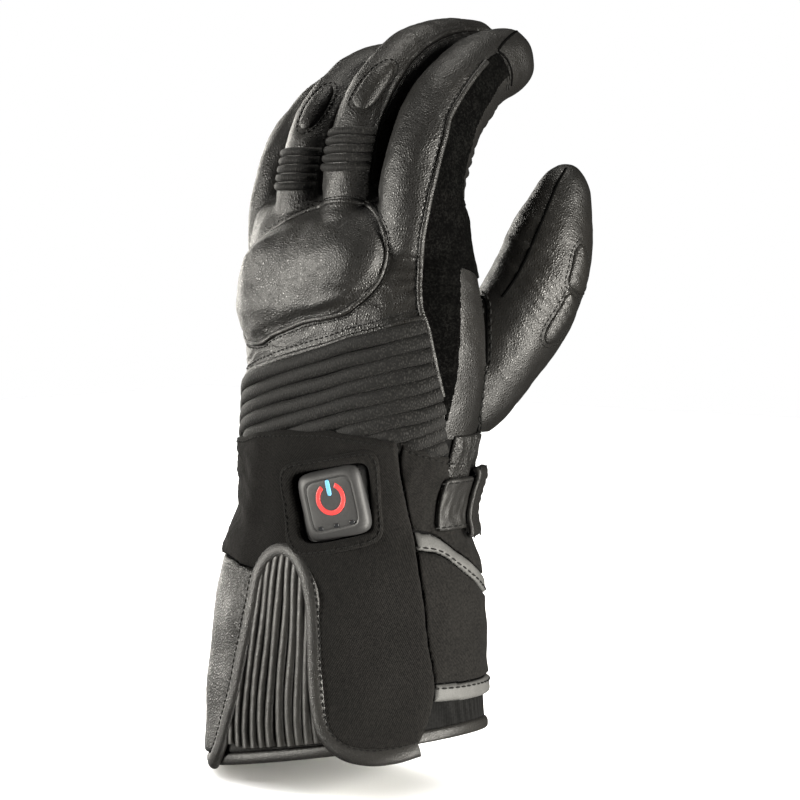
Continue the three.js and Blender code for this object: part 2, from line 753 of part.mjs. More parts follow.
function controllerBlock(grow, feet, levels) {
  return loft([
    ...feet.map((lift) => roundedSquare(grow).map((flat) => bodyPoint(...placed(flat), lift))),
    ...levels.map(([size, rise]) => roundedSquare(size).map((flat) => inPlane(flat, rise))),
  ]);
}
const shoulder = 0.45 * controllerRise;
const controller = controllerBlock(0, [panelGap], [[0, shoulder], [-2.2, controllerRise]]);
add("controller_housing", controller.subtract(bodySolid(cuffAt(0.65), wristSeamZ, 5, panelGap)), rubber, 0.6);
const controllerClear = controllerBlock(seamGap, [-3, panelGap], [[seamGap, shoulder], [seamGap, 12]]);

// The back of the cuff and the closure flap are one softshell panel.
const flapRight = edge([
  [-0.05, 54], [0.08, 56], [0.134, 63], [0.2, 68], [0.28, 69.5], [0.39, 67], [0.57, 63.5], [0.75, 60.5],
  [0.866, 55], [1, 46], [1.06, 42],
]);
const flapTop = (around) => handAt(ribsLow(around)) - 1;
const flapBlank = panel({
  surface: bodyPoint,
  columns: 14,
  rows: 10,
  place: (u, v) => {
    const up = 1 - (1 - v) ** 1.5;
    let around = THREE.MathUtils.lerp(-86, 60, u);
    let z = 0;
    for (let i = 0; i < 4; i++) {
      z = THREE.MathUtils.lerp(hemAt(around) + 0.5, flapTop(around), up);
      around = THREE.MathUtils.lerp(-86, flapRight(z / cuffLength), u);
    }
    return [around, z];
  },
  inner: panelGap + 0.15,
  outer: panelGap + flapThickness,
});
add("cuff_flap", flapBlank.subtract(archClear).subtract(sideClear).subtract(controllerClear), softshell, 0.9);
const weltLow = 2 * panelGap + flapThickness + 0.1;
const welt = disc({
  surface: bodyPoint,
  outline: roundedSquare(3).map(placed),
  centre: controllerCentre,
  rings: [1, 0.85],
  inner: weltLow,
  outer: (ring) => weltLow + (ring === 1 ? 0.5 : 1.1),
});
add("controller_welt", welt.subtract(controllerClear), softshell, 0.9);

// A plain power symbol and three small windows on the controller's face
function flatPiece(shape, rise) {
  const geometry = new THREE.ExtrudeGeometry(shape, { depth: symbolThickness, bevelEnabled: false, curveSegments: 5 });
  geometry.deleteAttribute("normal");
  geometry.deleteAttribute("uv");
  const merged = mergeVertices(geometry, 1e-4);
  const turn = radians(-controllerTurn);
  const position = merged.attributes.position;
  const points = Array.from({ length: position.count }, (_, i) => {
    const flat = new THREE.Vector2(position.getX(i), position.getY(i)).rotateAround(new THREE.Vector2(), turn);
    return inPlane(flat, rise + position.getZ(i));
  });
  return solid(points, Array.from(merged.index.array));
}
const faceRise = controllerRise + seamGap;
const symbolRing = new THREE.Shape();
symbolRing.absarc(0, 2, symbolSize / 2, radians(120), radians(420), false);
symbolRing.absarc(0, 2, symbolSize / 2 - 1.8, radians(420), radians(120), true);
add("controller_symbol_ring", flatPiece(symbolRing, faceRise), red, 0.5);
const symbolBar = new THREE.Shape([
  new THREE.Vector2(-0.9, 3),
  new THREE.Vector2(0.9, 3),
  new THREE.Vector2(0.9, 2 + symbolSize / 2 + 0.8),
  new THREE.Vector2(-0.9, 2 + symbolSize / 2 + 0.8),
]);
add("controller_symbol_bar", flatPiece(symbolBar, faceRise), blue, 0.5);
for (const [i, across] of [-0.25, 0, 0.25].entries()) {
  const window = new THREE.Shape();
  window.absarc(across * controllerWidth, -0.31 * controllerHeight, windowRadius, 0, 2 * Math.PI, false);
  add(`controller_window_${i + 1}`, flatPiece(window, faceRise), lens, 0.2);
}

// The closure tab comes out from under the flap: two grey bindings with cloth between
const tabTop = edge([[60, 0.75], [78, 0.73], [95, 0.655], [115, 0.59], [150, 0.56]]);
const tabLow = edge([[60, 0.222], [150, 0.2]]);
const bindingWide = 0.056 * cuffLength;
const tabEnd = 150;
const tabStart = (z) => flapRight(z / cuffLength) + 1;
function tabStrip(low, top, thickness, rows) {
  return panel({
    surface: bodyPoint,
    columns: 9,
    rows,
    place: (u, v) => {
      const mid = THREE.MathUtils.lerp(66, tabEnd, u);
      const z = THREE.MathUtils.lerp(low(mid), top(mid), v);
      return [THREE.MathUtils.lerp(tabStart(z), tabEnd, u), z];
    },
    inner: panelGap,
    outer: panelGap + thickness,
  });
}
const tabTopZ = (around) => cuffAt(tabTop(around));
const tabLowZ = (around) => cuffAt(tabLow(around));
add("tab_binding_top", tabStrip((a) => tabTopZ(a) - bindingWide, tabTopZ, bindingThickness, 1), greyBinding, 0.7);
add(
  "closure_tab",
  tabStrip((a) => tabLowZ(a) + bindingWide + seamGap, (a) => tabTopZ(a) - bindingWide - seamGap, panelThickness, 6),
  softshell,
  0.9,
);
add("tab_binding_bottom", tabStrip(tabLowZ, (a) => tabLowZ(a) + bindingWide, bindingThickness, 1), greyBinding, 0.7);

// Softshell above the tab, up to the wrist seam
add(
  "cuff_upper_side",
  tabStrip((a) => tabTopZ(a) + seamGap + 0.2, (a) => handAt(ribsLow(Math.min(a, 78))) - 2 * seamGap, panelThickness, 5),
  softshell,
  0.9,
);

// The palm side of the cuff
add(
  "cuff_palm",
  panel({
    surface: bodyPoint,
    columns: 12,
    rows: 8,
    place: (u, v) => {
      const around = THREE.MathUtils.lerp(tabEnd + 1, 360 + sideLeftAround - 1, u);
      return [around, THREE.MathUtils.lerp(hemAt(around) + 0.5, cuffAt(0.985), 1 - (1 - v) ** 1.5)];
    },
    inner: panelGap,
    outer: panelGap + panelThickness,
  }),
  softshell,
  0.9,
);

// The wrist strap and the loop that keeps its end
const strapMidZ = cuffAt(0.83);
const strapLow = panelGap + panelThickness + 0.8;
const strapBand = (fromAround, toAround, halfWide, low, high, columns) =>
  panel({
    surface: bodyPoint,
    columns,
    rows: 3,
    place: (u, v) => [
      THREE.MathUtils.lerp(fromAround, toAround, u),
      THREE.MathUtils.lerp(strapMidZ - halfWide, strapMidZ + halfWide, v),
    ],
    inner: low,
    outer: high,
  });
add("wrist_strap", strapBand(74, 140, strapWidth / 2, strapLow, strapLow + strapThickness, 8), leather, 0.55);
const keeperLow = strapLow + strapThickness + seamGap;
const keeperTurn = 1.3 * keeperWidth;
const keeper = strapBand(108, 108 + keeperTurn, strapWidth / 2 + 2.6, keeperLow, keeperLow + keeperThickness, 3);
const keeperLegs = strapBand(108, 108 + keeperTurn, strapWidth / 2 + 2.6, strapLow, keeperLow + 0.1, 3);
const strapSlot = strapBand(100, 130, strapWidth / 2 + seamGap, strapLow - 1, keeperLow + 0.05, 5);
add("strap_keeper", keeper.add(keeperLegs.subtract(strapSlot)), leather, 0.55);

export default group;
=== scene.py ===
# %% [markdown]
# # A heated riding glove with a gauntlet cuff
# The glove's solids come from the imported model. This lesson dresses them: leather, suede,
# stretch cloth and softshell, with their seams, folds and stitches.
# Every Blender object here is in metres and sits at the origin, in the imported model's frame:
# +Z runs from the cuff's mouth to the fingers, the back of the hand faces -Y and the thumb
# side faces +X. The sums are done in millimetres, because that is how a maker measures.

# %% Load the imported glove
import bpy
import math
import numpy as np
from mathutils import Matrix, Vector
from mathutils.bvhtree import BVHTree


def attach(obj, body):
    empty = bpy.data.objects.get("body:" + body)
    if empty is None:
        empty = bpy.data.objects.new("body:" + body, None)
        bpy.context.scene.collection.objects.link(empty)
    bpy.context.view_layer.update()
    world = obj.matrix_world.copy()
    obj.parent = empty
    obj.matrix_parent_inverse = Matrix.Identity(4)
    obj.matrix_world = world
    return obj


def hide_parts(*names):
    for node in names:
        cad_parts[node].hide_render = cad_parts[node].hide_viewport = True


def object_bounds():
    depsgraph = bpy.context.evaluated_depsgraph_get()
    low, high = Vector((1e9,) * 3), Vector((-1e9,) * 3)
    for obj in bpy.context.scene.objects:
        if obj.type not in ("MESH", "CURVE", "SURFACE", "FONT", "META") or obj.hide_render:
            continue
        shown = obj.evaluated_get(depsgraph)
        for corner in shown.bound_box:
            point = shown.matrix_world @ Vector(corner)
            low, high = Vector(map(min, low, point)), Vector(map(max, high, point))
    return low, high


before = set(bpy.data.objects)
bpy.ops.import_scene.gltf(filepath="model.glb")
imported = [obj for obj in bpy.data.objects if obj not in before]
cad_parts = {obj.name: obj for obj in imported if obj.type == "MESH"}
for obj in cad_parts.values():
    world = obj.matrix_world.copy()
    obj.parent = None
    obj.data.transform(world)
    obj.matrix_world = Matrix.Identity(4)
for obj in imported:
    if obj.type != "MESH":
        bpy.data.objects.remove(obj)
cad_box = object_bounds()
MM = 0.001
print("solids loaded:", len(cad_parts))

# %% [markdown]
# The camera stands where the photographer stood: a little above the cuff, turned 39 degrees
# towards the thumb side. A long lens keeps the fingers from looking too large.
# The two pixel values say where the glove's middle lands in the 800 pixel frame.

# %% Set the camera
AZIMUTH = math.radians(39.0)
ELEVATION = math.radians(4.0)
LENS = 110.0
SENSOR = 36.0
FRAME_PIXELS = 800
FRAME_MIDDLE = 400
PIXELS_PER_MM = 2.75
MIDDLE_Z = 130.0
MIDDLE_PIXEL_X = 354.0
MIDDLE_PIXEL_Y = 750.0 - PIXELS_PER_MM * MIDDLE_Z * math.cos(ELEVATION)

view_back = np.array([
    math.sin(AZIMUTH) * math.cos(ELEVATION),
    -math.cos(AZIMUTH) * math.cos(ELEVATION),
    math.sin(ELEVATION),
])
view_right = np.array([math.cos(AZIMUTH), math.sin(AZIMUTH), 0.0])
view_up = np.cross(view_back, view_right)
distance = FRAME_PIXELS * LENS / (SENSOR * PIXELS_PER_MM)
stand = (
    np.array([0, 0, MIDDLE_Z])
    + view_back * distance
    + view_right * (FRAME_MIDDLE - MIDDLE_PIXEL_X) / PIXELS_PER_MM
    + view_up * (MIDDLE_PIXEL_Y - FRAME_MIDDLE) / PIXELS_PER_MM
) * MM

camera = bpy.data.objects.new("photo_camera", bpy.data.cameras.new("photo_camera"))
camera.data.lens = LENS
camera.data.sensor_width = SENSOR
camera.data.clip_start = 0.05
camera.data.clip_end = 50.0
turn = Matrix((view_right, view_up, view_back)).transposed().to_4x4()
camera.matrix_world = Matrix.Translation(Vector(stand)) @ turn
bpy.context.collection.objects.link(camera)
bpy.context.scene.camera = camera
print("camera distance in mm:", round(distance))

# %% [markdown]
# The glove's form is ruled by a few named sizes and short tables of sections, the same ones
# that shaped the solids. A cubic curve runs through each table, so one function gives a point
# anywhere on the hand and cuff: around in degrees, z in mm, and a lift out of the surface.

# %% Sizes and sections
MOUTH_WIDTH, MOUTH_DEPTH = 114.0, 73.0
WRIST_WIDTH, WRIST_DEPTH = 88.0, 55.0
KNUCKLE_WIDTH, KNUCKLE_DEPTH = 101.0, 51.0
CUFF_LENGTH, HAND_LENGTH = 112.0, 92.0
ROUNDNESS = 2.25
FINGER_DEPTH = 31.0
TIP_LENGTH = 12.0
PANEL_GAP = 0.7


def cuff_at(share):
    return share * CUFF_LENGTH


def hand_at(share):
    return CUFF_LENGTH + share * HAND_LENGTH


def cubic(table):
    """A smooth curve through the rows of a table, read at the first column."""
    table = np.array(table, float)
    at, value = table[:, 0], table[:, 1:]
    last = len(at) - 2

    def read(place):
        place = np.clip(np.asarray(place, float), at[0], at[-1])
        i = np.clip(np.searchsorted(at, place, side="right") - 1, 0, last)
        t0, t1 = at[i], at[i + 1]
        low, high = i == 0, i == last
        before = np.where(low, i + 1, np.maximum(i - 1, 0))
        after = np.where(high, i, np.minimum(i + 2, last + 1))
        half = (t1 - t0) / 2
        w0 = (half / (t0 - at[before]))[..., None]
        w1 = (half / (at[after] - t1))[..., None]
        p = ((place - t0) / (t1 - t0))[..., None]
        p2, p3 = p * p, p * p * p
        return (
            (-w0 * p3 + 2 * w0 * p2 - w0 * p) * value[before]
            + ((1 + w0) * p3 + (-1.5 - 2 * w0) * p2 + (-0.5 + w0) * p + 1) * value[i]
            + ((-1 - w1) * p3 + (1.5 + w1) * p2 + 0.5 * p) * value[i + 1]
            + (w1 * p3 - w1 * p2) * value[after]
        )

    return read


def squared(value, power=ROUNDNESS):
    return np.sign(value) * np.abs(value) ** (2 / power)


MW, MD, WW, WD, KW, KD = MOUTH_WIDTH, MOUTH_DEPTH, WRIST_WIDTH, WRIST_DEPTH, KNUCKLE_WIDTH, KNUCKLE_DEPTH
# z, width, depth, how far the middle moves to the thumb side, and to the palm side
BODY_ROWS = [
    (0, MW, MD, -0.036 * MW, 0),
    (cuff_at(0.29), 0.955 * MW, 0.96 * MD, -0.032 * MW, 0),
    (cuff_at(0.49), 0.92 * MW, 0.93 * MD, -0.022 * MW, 0),
    (cuff_at(0.64), 0.87 * MW, 0.88 * MD, -0.016 * MW, 0),
    (cuff_at(0.777), WW, WD, -0.02 * WW, 0),
    (cuff_at(0.93), 1.04 * WW, 1.02 * WD, 0.01 * WW, 0),
    (hand_at(0.03), 0.94 * KW, 1.06 * KD, 0.02 * KW, 0),
    (hand_at(0.2), 0.975 * KW, 1.05 * KD, 0.04 * KW, 0.01 * KD),
    (hand_at(0.42), KW, 1.03 * KD, 0.04 * KW, 0.01 * KD),
    (hand_at(0.62), 0.98 * KW, KD, 0.02 * KW, 0.02 * KD),
    (hand_at(0.78), 0.93 * KW, 0.93 * KD, 0.004 * KW, 0.04 * KD),
    (hand_at(0.9), 0.9 * KW, 0.8 * KD, 0, 0.06 * KD),
    (hand_at(0.97), 0.84 * KW, 0.6 * KD, 0, 0.07 * KD),
]
body_section = cubic(BODY_ROWS)


def on_body(around, z, lift=0.0):
    around, z, lift = np.broadcast_arrays(np.asarray(around, float), z, lift)
    width, depth, across, forward = np.moveaxis(body_section(z), -1, 0)
    angle = np.radians(around)
    x = across + (width / 2 + lift) * squared(np.sin(angle))
    y = forward - (depth / 2 + lift) * squared(np.cos(angle))
    return np.stack([x, y, z + 0.0 * x], -1)


print("a point on the back of the wrist:", on_body(0, 87).round(1))

# %% [markdown]
# A finger is a tube on a bent middle line. It leans from upright towards the palm, slowly at
# both ends, and closes in a dome. The thumb follows a curve through four points instead.
# Each tube gives a point for (around, along, lift), as the hand does.

# %% Fingers and thumb as tubes
FINGER_ROWS = [
    (0, 0.98, 1), (0.25, 1, 1), (0.5, 0.98, 0.96), (0.75, 0.93, 0.86), (0.9, 0.86, 0.76), (1, 0.8, 0.68),
]
THUMB_ROWS = [
    (0, 0.7, 0.7), (0.3, 0.95, 0.95), (0.55, 1, 1), (0.75, 0.84, 0.86), (0.9, 0.58, 0.6), (1, 0.48, 0.5),
]


CHUNKS = 60


def unit(vectors):
    """The same directions, each with length 1."""
    return vectors / np.linalg.norm(vectors, axis=1)[:, None]


def smooth_line(points, count=400):
    """A rounded curve through points, spaced evenly."""
    points = np.array(points, float)
    points = np.vstack([2 * points[0] - points[1], points, 2 * points[-1] - points[-2]])
    run = []
    for i in range(1, len(points) - 2):
        p0, p1, p2, p3 = points[i - 1:i + 3]
        d0, d1, d2 = (np.sqrt(np.linalg.norm(b - a)) for a, b in ((p0, p1), (p1, p2), (p2, p3)))
        m1 = ((p1 - p0) / d0 - (p2 - p0) / (d0 + d1) + (p2 - p1) / d1) * d1
        m2 = ((p2 - p1) / d1 - (p3 - p1) / (d1 + d2) + (p3 - p2) / d2) * d1
        t = np.linspace(0, 1, 60, endpoint=False)[:, None]
        run.append(p1 + m1 * t + (-3 * p1 + 3 * p2 - 2 * m1 - m2) * t**2 + (2 * p1 - 2 * p2 + m1 + m2) * t**3)
    return even(np.vstack(run + [points[-2][None]]), count)


def even(line, count):
    """The same line with evenly spaced points."""
    length = np.concatenate([[0], np.cumsum(np.linalg.norm(np.diff(line, axis=0), axis=1))])
    places = np.linspace(0, length[-1], count)
    return np.stack([np.interp(places, length, line[:, k]) for k in range(line.shape[1])], -1)


class Tube:
    """A bent tube. A place on it is an angle around, a distance along and a lift."""

    def __init__(self, name, length, breadth, depth, rows, centres, backs, sides):
        self.name, self.length = name, length
        self.section = cubic([(s, b * breadth / 2, d * depth / 2) for s, b, d in rows])
        self.share = np.linspace(0, 1, len(centres))
        self.centres, self.backs, self.sides = centres, backs, sides

    def read(self, table, along):
        share = np.clip(along / self.length, 0, 1)
        return np.stack([np.interp(share, self.share, table[:, k]) for k in range(3)], -1)

    def point(self, around, along, lift=0.0):
        around, along, lift = np.broadcast_arrays(np.asarray(around, float), along, lift)
        breadth, depth = np.moveaxis(self.section(along / self.length), -1, 0)
        dome = np.clip((along - self.length + TIP_LENGTH) / (TIP_LENGTH + lift), 0, 1)
        close = np.sqrt(1 - dome**2)
        angle = np.radians(around)
        side = ((breadth + lift) * close * squared(np.sin(angle)))[..., None]
        back = ((depth + lift) * close * squared(np.cos(angle)))[..., None]
        middle = self.read(self.centres, along)
        return middle + side * self.read(self.sides, along) + back * self.read(self.backs, along)


def finger(name, across, forward, up, length, breadth, depth, curl, drift=0.0):
    steps = 64
    lean = lambda share: math.radians(curl) * share * share * (3 - 2 * share)
    middles = lean((np.arange(steps) + 0.5) / steps)
    moves = np.stack([np.full(steps, drift / length), np.sin(middles), np.cos(middles)], -1) * length / steps
    start = np.array([across * KW, forward * KD, hand_at(up)])
    centres = np.vstack([start, start + np.cumsum(moves, 0)])
    leans = lean(np.linspace(0, 1, steps + 1))
    backs = np.stack([0 * leans, -np.cos(leans), np.sin(leans)], -1)
    sides = np.tile([1.0, 0, 0], (steps + 1, 1))
    return Tube(name, length, breadth, depth, FINGER_ROWS, centres, backs, sides)


index = finger("index", 0.337, -0.08, 0.72, 108, 26.5, FINGER_DEPTH, 77)
middle = finger("middle", 0.07, -0.08, 0.785, 119, 26, FINGER_DEPTH, 90, 3)
ring = finger("ring", -0.18, -0.04, 0.73, 113, 24, 0.93 * FINGER_DEPTH, 87)
little = finger("little", -0.402, 0.07, 0.61, 97, 20.5, 0.84 * FINGER_DEPTH, 62)
thumb_places = [(0.26, 0.42, 0.06), (0.36, 0.65, 0.3), (0.47, 0.92, 0.62), (0.525, 1.18, 1.1)]
thumb_line = smooth_line([(a * KW, f * KD, hand_at(u)) for a, f, u in thumb_places])
thumb_tangent = unit(np.gradient(thumb_line, axis=0))
facing = np.array([0.95, 0.3, 0])
thumb_back = unit(facing - (thumb_tangent @ facing)[:, None] * thumb_tangent)
thumb = Tube("thumb", 112, 35, 35, THUMB_ROWS, thumb_line, thumb_back, -np.cross(thumb_back, thumb_tangent))
FINGERS = [index, middle, ring, little]
print("finger lengths in mm:", {tube.name: tube.length for tube in FINGERS + [thumb]})

# %% [markdown]
# A finish is a material with its own nodes. To keep the sums readable, one small class wraps a
# socket: adding or multiplying two of them places the Math node that does it. Every other node
# comes from a single method, which first makes the node's settings and then fills its sockets.

# %% A small language for materials
class Value:
    """A number in a material. Sums with it place Math nodes."""

    def __init__(self, tree, socket):
        self.tree, self.socket = tree, socket

    def maths(self, operation, *others, turned=False):
        made = self.tree.nodes.new("ShaderNodeMath")
        made.operation = operation
        terms = (*others, self) if turned else (self, *others)
        for socket, term in zip(made.inputs, terms):
            if isinstance(term, Value):
                self.tree.links.new(term.socket, socket)
            else:
                socket.default_value = term
        return Value(self.tree, made.outputs[0])

    def __add__(self, other):
        return self.maths("ADD", other)

    def __sub__(self, other):
        return self.maths("SUBTRACT", other)

    def __mul__(self, other):
        return self.maths("MULTIPLY", other)

    def __rsub__(self, other):
        return self.maths("SUBTRACT", other, turned=True)

    __radd__ = __add__
    __rmul__ = __mul__

    def ramp(self, low, high):
        """Rises smoothly from 0 at low to 1 at high."""
        made = self.tree.nodes.new("ShaderNodeMapRange")
        made.interpolation_type = "SMOOTHSTEP"
        self.tree.links.new(self.socket, made.inputs["Value"])
        made.inputs["From Min"].default_value = min(low, high)
        made.inputs["From Max"].default_value = max(low, high)
        made.inputs["To Min"].default_value = 0.0 if low < high else 1.0
        made.inputs["To Max"].default_value = 1.0 if low < high else 0.0
        return Value(self.tree, made.outputs["Result"])


class Finish:
    """A material. Its constants sit on the shader's own sockets."""

    def __init__(self, name, **constants):
        self.material = bpy.data.materials.new(name)
        self.material.use_nodes = True
        self.tree = self.material.node_tree
        self.shader = self.tree.nodes["Principled BSDF"]
        for key, value in constants.items():
            self.shader.inputs[key.replace("_", " ")].default_value = value

    def node(self, kind, settings=None, **sockets):
        made = self.tree.nodes.new("ShaderNode" + kind)
        for key, value in (settings or {}).items():
            setattr(made, key, value)
        for key, value in sockets.items():
            socket = made.inputs[key.replace("_", " ")]
            if isinstance(value, Value):
                self.tree.links.new(value.socket, socket)
            else:
                socket.default_value = value
        return made

    def out(self, made, label):
        return Value(self.tree, made.outputs[label])

    def place(self, scale, stretch=(1, 1, 1), turn=(0, 0, 0), flat=False):
        """Object coordinates in mm times a scale, or the piece's own cloth map."""
        read = self.node("UVMap", {"uv_map": "cloth"}) if flat else self.node("TexCoord")
        source = self.out(read, "UV" if flat else "Object")
        size = 1000.0 * scale
        made = self.node("Mapping", Vector=source, Scale=tuple(size * s for s in stretch), Rotation=turn)
        return self.out(made, "Vector")

    def noise(self, scale, detail=2.0, rough=0.5):
        where = self.place(scale)
        return self.out(self.node("TexNoise", Vector=where, Scale=1.0, Detail=detail, Roughness=rough), "Fac")

    def cells(self, scale, **where):
        """How far a point is from the edge of its cell."""
        place = self.place(scale, **where)
        edges = {"feature": "DISTANCE_TO_EDGE"}
        return self.out(self.node("TexVoronoi", edges, Vector=place, Scale=1.0, Randomness=1.0), "Distance")

    def attribute(self, name):
        return self.out(self.node("Attribute", {"attribute_name": name}), "Fac")

    def mixed(self, share, low, high):
        made = self.tree.nodes.new("ShaderNodeMix")
        made.data_type = "RGBA"
        for socket, term in ((made.inputs[0], share), (made.inputs[6], low), (made.inputs[7], high)):
            if isinstance(term, Value):
                self.tree.links.new(term.socket, socket)
            else:
                socket.default_value = term if isinstance(term, float) else (*term, 1.0)
        return Value(self.tree, made.outputs[2])

    def feed(self, label, value):
        self.tree.links.new(value.socket, self.shader.inputs[label])

    def bump(self, height, depth_mm):
        made = self.node("Bump", Height=height, Distance=depth_mm * MM, Strength=1.0)
        self.feed("Normal", self.out(made, "Normal"))


# %% [markdown]
# Full-grain leather on a riding glove is a warm near-black. Its surface is a net of tiny
# pebbles about a millimetre across, with broader soft creases, and the polish is uneven: the
# tops of the pebbles shine a little more than the valleys. Voronoi cells give the pebbles,
# and two noises give the creases and the wear.

# %% Leather finishes
def leather(name, tone, rough, pebble=0.95, depth=0.16, crease=0.5, seams=False):
    f = Finish(name, Specular_IOR_Level=0.55)
    net = f.cells(1 / pebble).ramp(0.0, 0.42)
    fine = f.noise(2.2, detail=3)
    broad = f.noise(0.11, detail=4, rough=0.6)
    patch = f.noise(0.035, detail=2)
    height = net + fine * 0.35 + broad * crease
    wear = patch.ramp(0.35, 0.7)
    dark = tuple(0.4 * t for t in tone)
    light = tuple(1.45 * t for t in tone)
    colour = f.mixed((net * 0.55 + wear * 0.45).ramp(0.1, 1.0), dark, light)
    gloss = rough + 0.24 - net * 0.26 - wear * 0.06 + fine * 0.08
    # With seams, part of the colour is painted shade: the seam groove is darkened, and the fourchette walls
    # between the fingers are darker still.
    if seams:
        away = f.attribute("seam_away")
        groove_and_shade = away.maths("ABSOLUTE").ramp(0.0, 0.75)
        puckered = away.maths("ABSOLUTE").ramp(3.2, 0.6) * f.noise(0.55, detail=1).ramp(0.3, 0.7)
        height = height + groove_and_shade * 4.0 + puckered * 1.4
        inner = away.ramp(-0.2, -1.0)
        colour = f.mixed(groove_and_shade * (1 - inner * 0.55), tuple(0.25 * t for t in tone), colour)
    f.feed("Base Color", colour)
    f.feed("Roughness", gloss)
    f.bump(height, depth)
    return f.material


HAND_TONE = (0.008, 0.0073, 0.0063)
GLOVE_LEATHER = leather("glove_leather", HAND_TONE, 0.28, depth=0.09, crease=1.0, seams=True)
PAD_LEATHER = leather("pad_leather", HAND_TONE, 0.28, depth=0.09, crease=1.0)
CUFF_LEATHER = leather("cuff_leather", (0.012, 0.0112, 0.0102), 0.28, pebble=1.1, depth=0.19, crease=0.15)
TRIM_LEATHER = leather("trim_leather", (0.017, 0.0162, 0.015), 0.28, pebble=0.8, depth=0.07, crease=1.2)
print("leather finishes:", 4)

# %% [markdown]
# Other cloths need their own finishes. Suede is the flesh side of leather: hardly any shine, a
# blotchy nap and a fine fuzz. Softshell is a close twill, with a fine slanted line in its weave.
# The stretch panels are a knit, and the bindings a smooth mid-grey. One nearly matt thread is
# used for every stitch.

# %% Cloth, rubber and thread finishes
def suede_finish():
    f = Finish("suede", Specular_IOR_Level=0.04)
    nap = f.noise(1.1, detail=5, rough=0.8)
    blotch = f.noise(0.16, detail=3, rough=0.6)
    fuzz = f.noise(5.0, detail=2, rough=0.8)
    patches = (nap * 0.8 + blotch * 0.2).ramp(0.46, 0.66)
    f.feed("Base Color", f.mixed(patches, (0.0004, 0.0004, 0.0004), (0.007, 0.007, 0.0065)))
    f.feed("Roughness", 0.86 + nap * 0.14)
    f.bump(nap * 0.8 + fuzz * 0.5, 0.35)
    return f.material


def twill_finish(name, low, high, pitch=0.7, depth=0.1, sheen=0.015, flat=True):
    f = Finish(name, Sheen_Weight=sheen, Sheen_Roughness=0.5, Specular_IOR_Level=0.14)
    weave = f.place(1 / pitch, flat=flat, turn=(0, 0, math.radians(28)))
    bands = lambda way: {"wave_type": "BANDS", "bands_direction": way, "wave_profile": "SIN"}
    lines = f.node("TexWave", bands("X"), Vector=weave, Scale=0.32, Distortion=0.0)
    across = f.node("TexWave", bands("Y"), Vector=weave, Scale=0.5, Distortion=0.0)
    twill = f.out(lines, "Fac") * 0.65 + f.out(across, "Fac") * 0.35
    speck = f.noise(1.3, detail=2, rough=0.7)
    wear = f.noise(0.05, detail=3)
    f.feed("Base Color", f.mixed((twill * 0.3 + speck * 0.7 + wear * 0.15).ramp(0.35, 0.85), low, high))
    f.feed("Roughness", 0.8 + speck * 0.18)
    f.bump(twill + speck * 0.5 + f.noise(0.09, detail=3) * 3.0, depth)
    return f.material


def knit_finish(name, low, high, rough=0.8):
    f = Finish(name, Sheen_Weight=0.05, Sheen_Roughness=0.45, Specular_IOR_Level=0.25)
    loops = f.cells(1.35, stretch=(1.0, 1.0, 0.5)).ramp(0.0, 0.45)
    speck = f.noise(1.5, detail=2, rough=0.7)
    f.feed("Base Color", f.mixed((loops * 0.6 + speck * 0.5).ramp(0.2, 1.0), low, high))
    f.feed("Roughness", rough + speck * 0.15)
    f.bump(loops * 0.7 + speck * 0.5, 0.16)
    return f.material


def smooth_finish(name, low, high, rough, grain=1.5, depth=0.05, **constants):
    f = Finish(name, **constants)
    speck = f.noise(grain, detail=3, rough=0.6)
    wear = f.noise(0.08, detail=3)
    f.feed("Base Color", f.mixed((speck * 0.5 + wear * 0.5).ramp(0.3, 0.7), low, high))
    f.feed("Roughness", rough - 0.05 + speck * 0.12)
    f.bump(speck + wear, depth)
    return f.material


SUEDE = suede_finish()
SOFTSHELL = twill_finish("softshell", (0.001, 0.00095, 0.0009), (0.017, 0.016, 0.0148))
LINING = twill_finish(
    "lining_cloth", (0.001, 0.001, 0.001), (0.009, 0.009, 0.009), pitch=1.6, sheen=0.01, flat=False,
)
STRETCH = knit_finish("stretch_knit", (0.0015, 0.0014, 0.0013), (0.02, 0.0192, 0.0177), rough=0.6)
BINDING = smooth_finish("grey_binding", (0.06, 0.06, 0.0585), (0.1, 0.1, 0.0975), 0.6, grain=2.0, depth=0.12)
RUBBER = smooth_finish("satin_rubber", (0.026, 0.026, 0.0265), (0.042, 0.042, 0.0425), 0.5, depth=0.04)
THREAD = smooth_finish(
    "thread", (0.002, 0.002, 0.002), (0.011, 0.011, 0.0105), 0.7, grain=4.0, Specular_IOR_Level=0.2,
)
# A near-black matt finish for thin cords laid along seams: painted shadow in the seam lines.
SEAM_SHADOW_PAINT = smooth_finish(
    "seam_shadow", (0.0008, 0.0008, 0.0008), (0.002, 0.002, 0.002), 0.9, Specular_IOR_Level=0.02,
)
PLEAT_CLOTH = smooth_finish(
    "pleat_cloth", (0.008, 0.0076, 0.007), (0.026, 0.025, 0.023), 0.42, grain=1.3, depth=0.14,
)
RED_PRINT = smooth_finish("red_print", (0.78, 0.05, 0.05), (0.86, 0.07, 0.065), 0.38, depth=0.01)
BLUE_PRINT = smooth_finish("blue_print", (0.17, 0.54, 0.9), (0.2, 0.6, 0.95), 0.38, depth=0.01)
WINDOW = smooth_finish("lamp_window", (0.02, 0.021, 0.023), (0.03, 0.031, 0.034), 0.15, depth=0.01)
print("cloth finishes made")

# %% [markdown]
# A piece is made from points and faces. This helper turns millimetres into metres, links the
# object, gives it a finish and rides it on the glove's one body. Pieces on cloth also carry a
# map called cloth, in metres over the surface, so a weave follows the panel instead of the room.

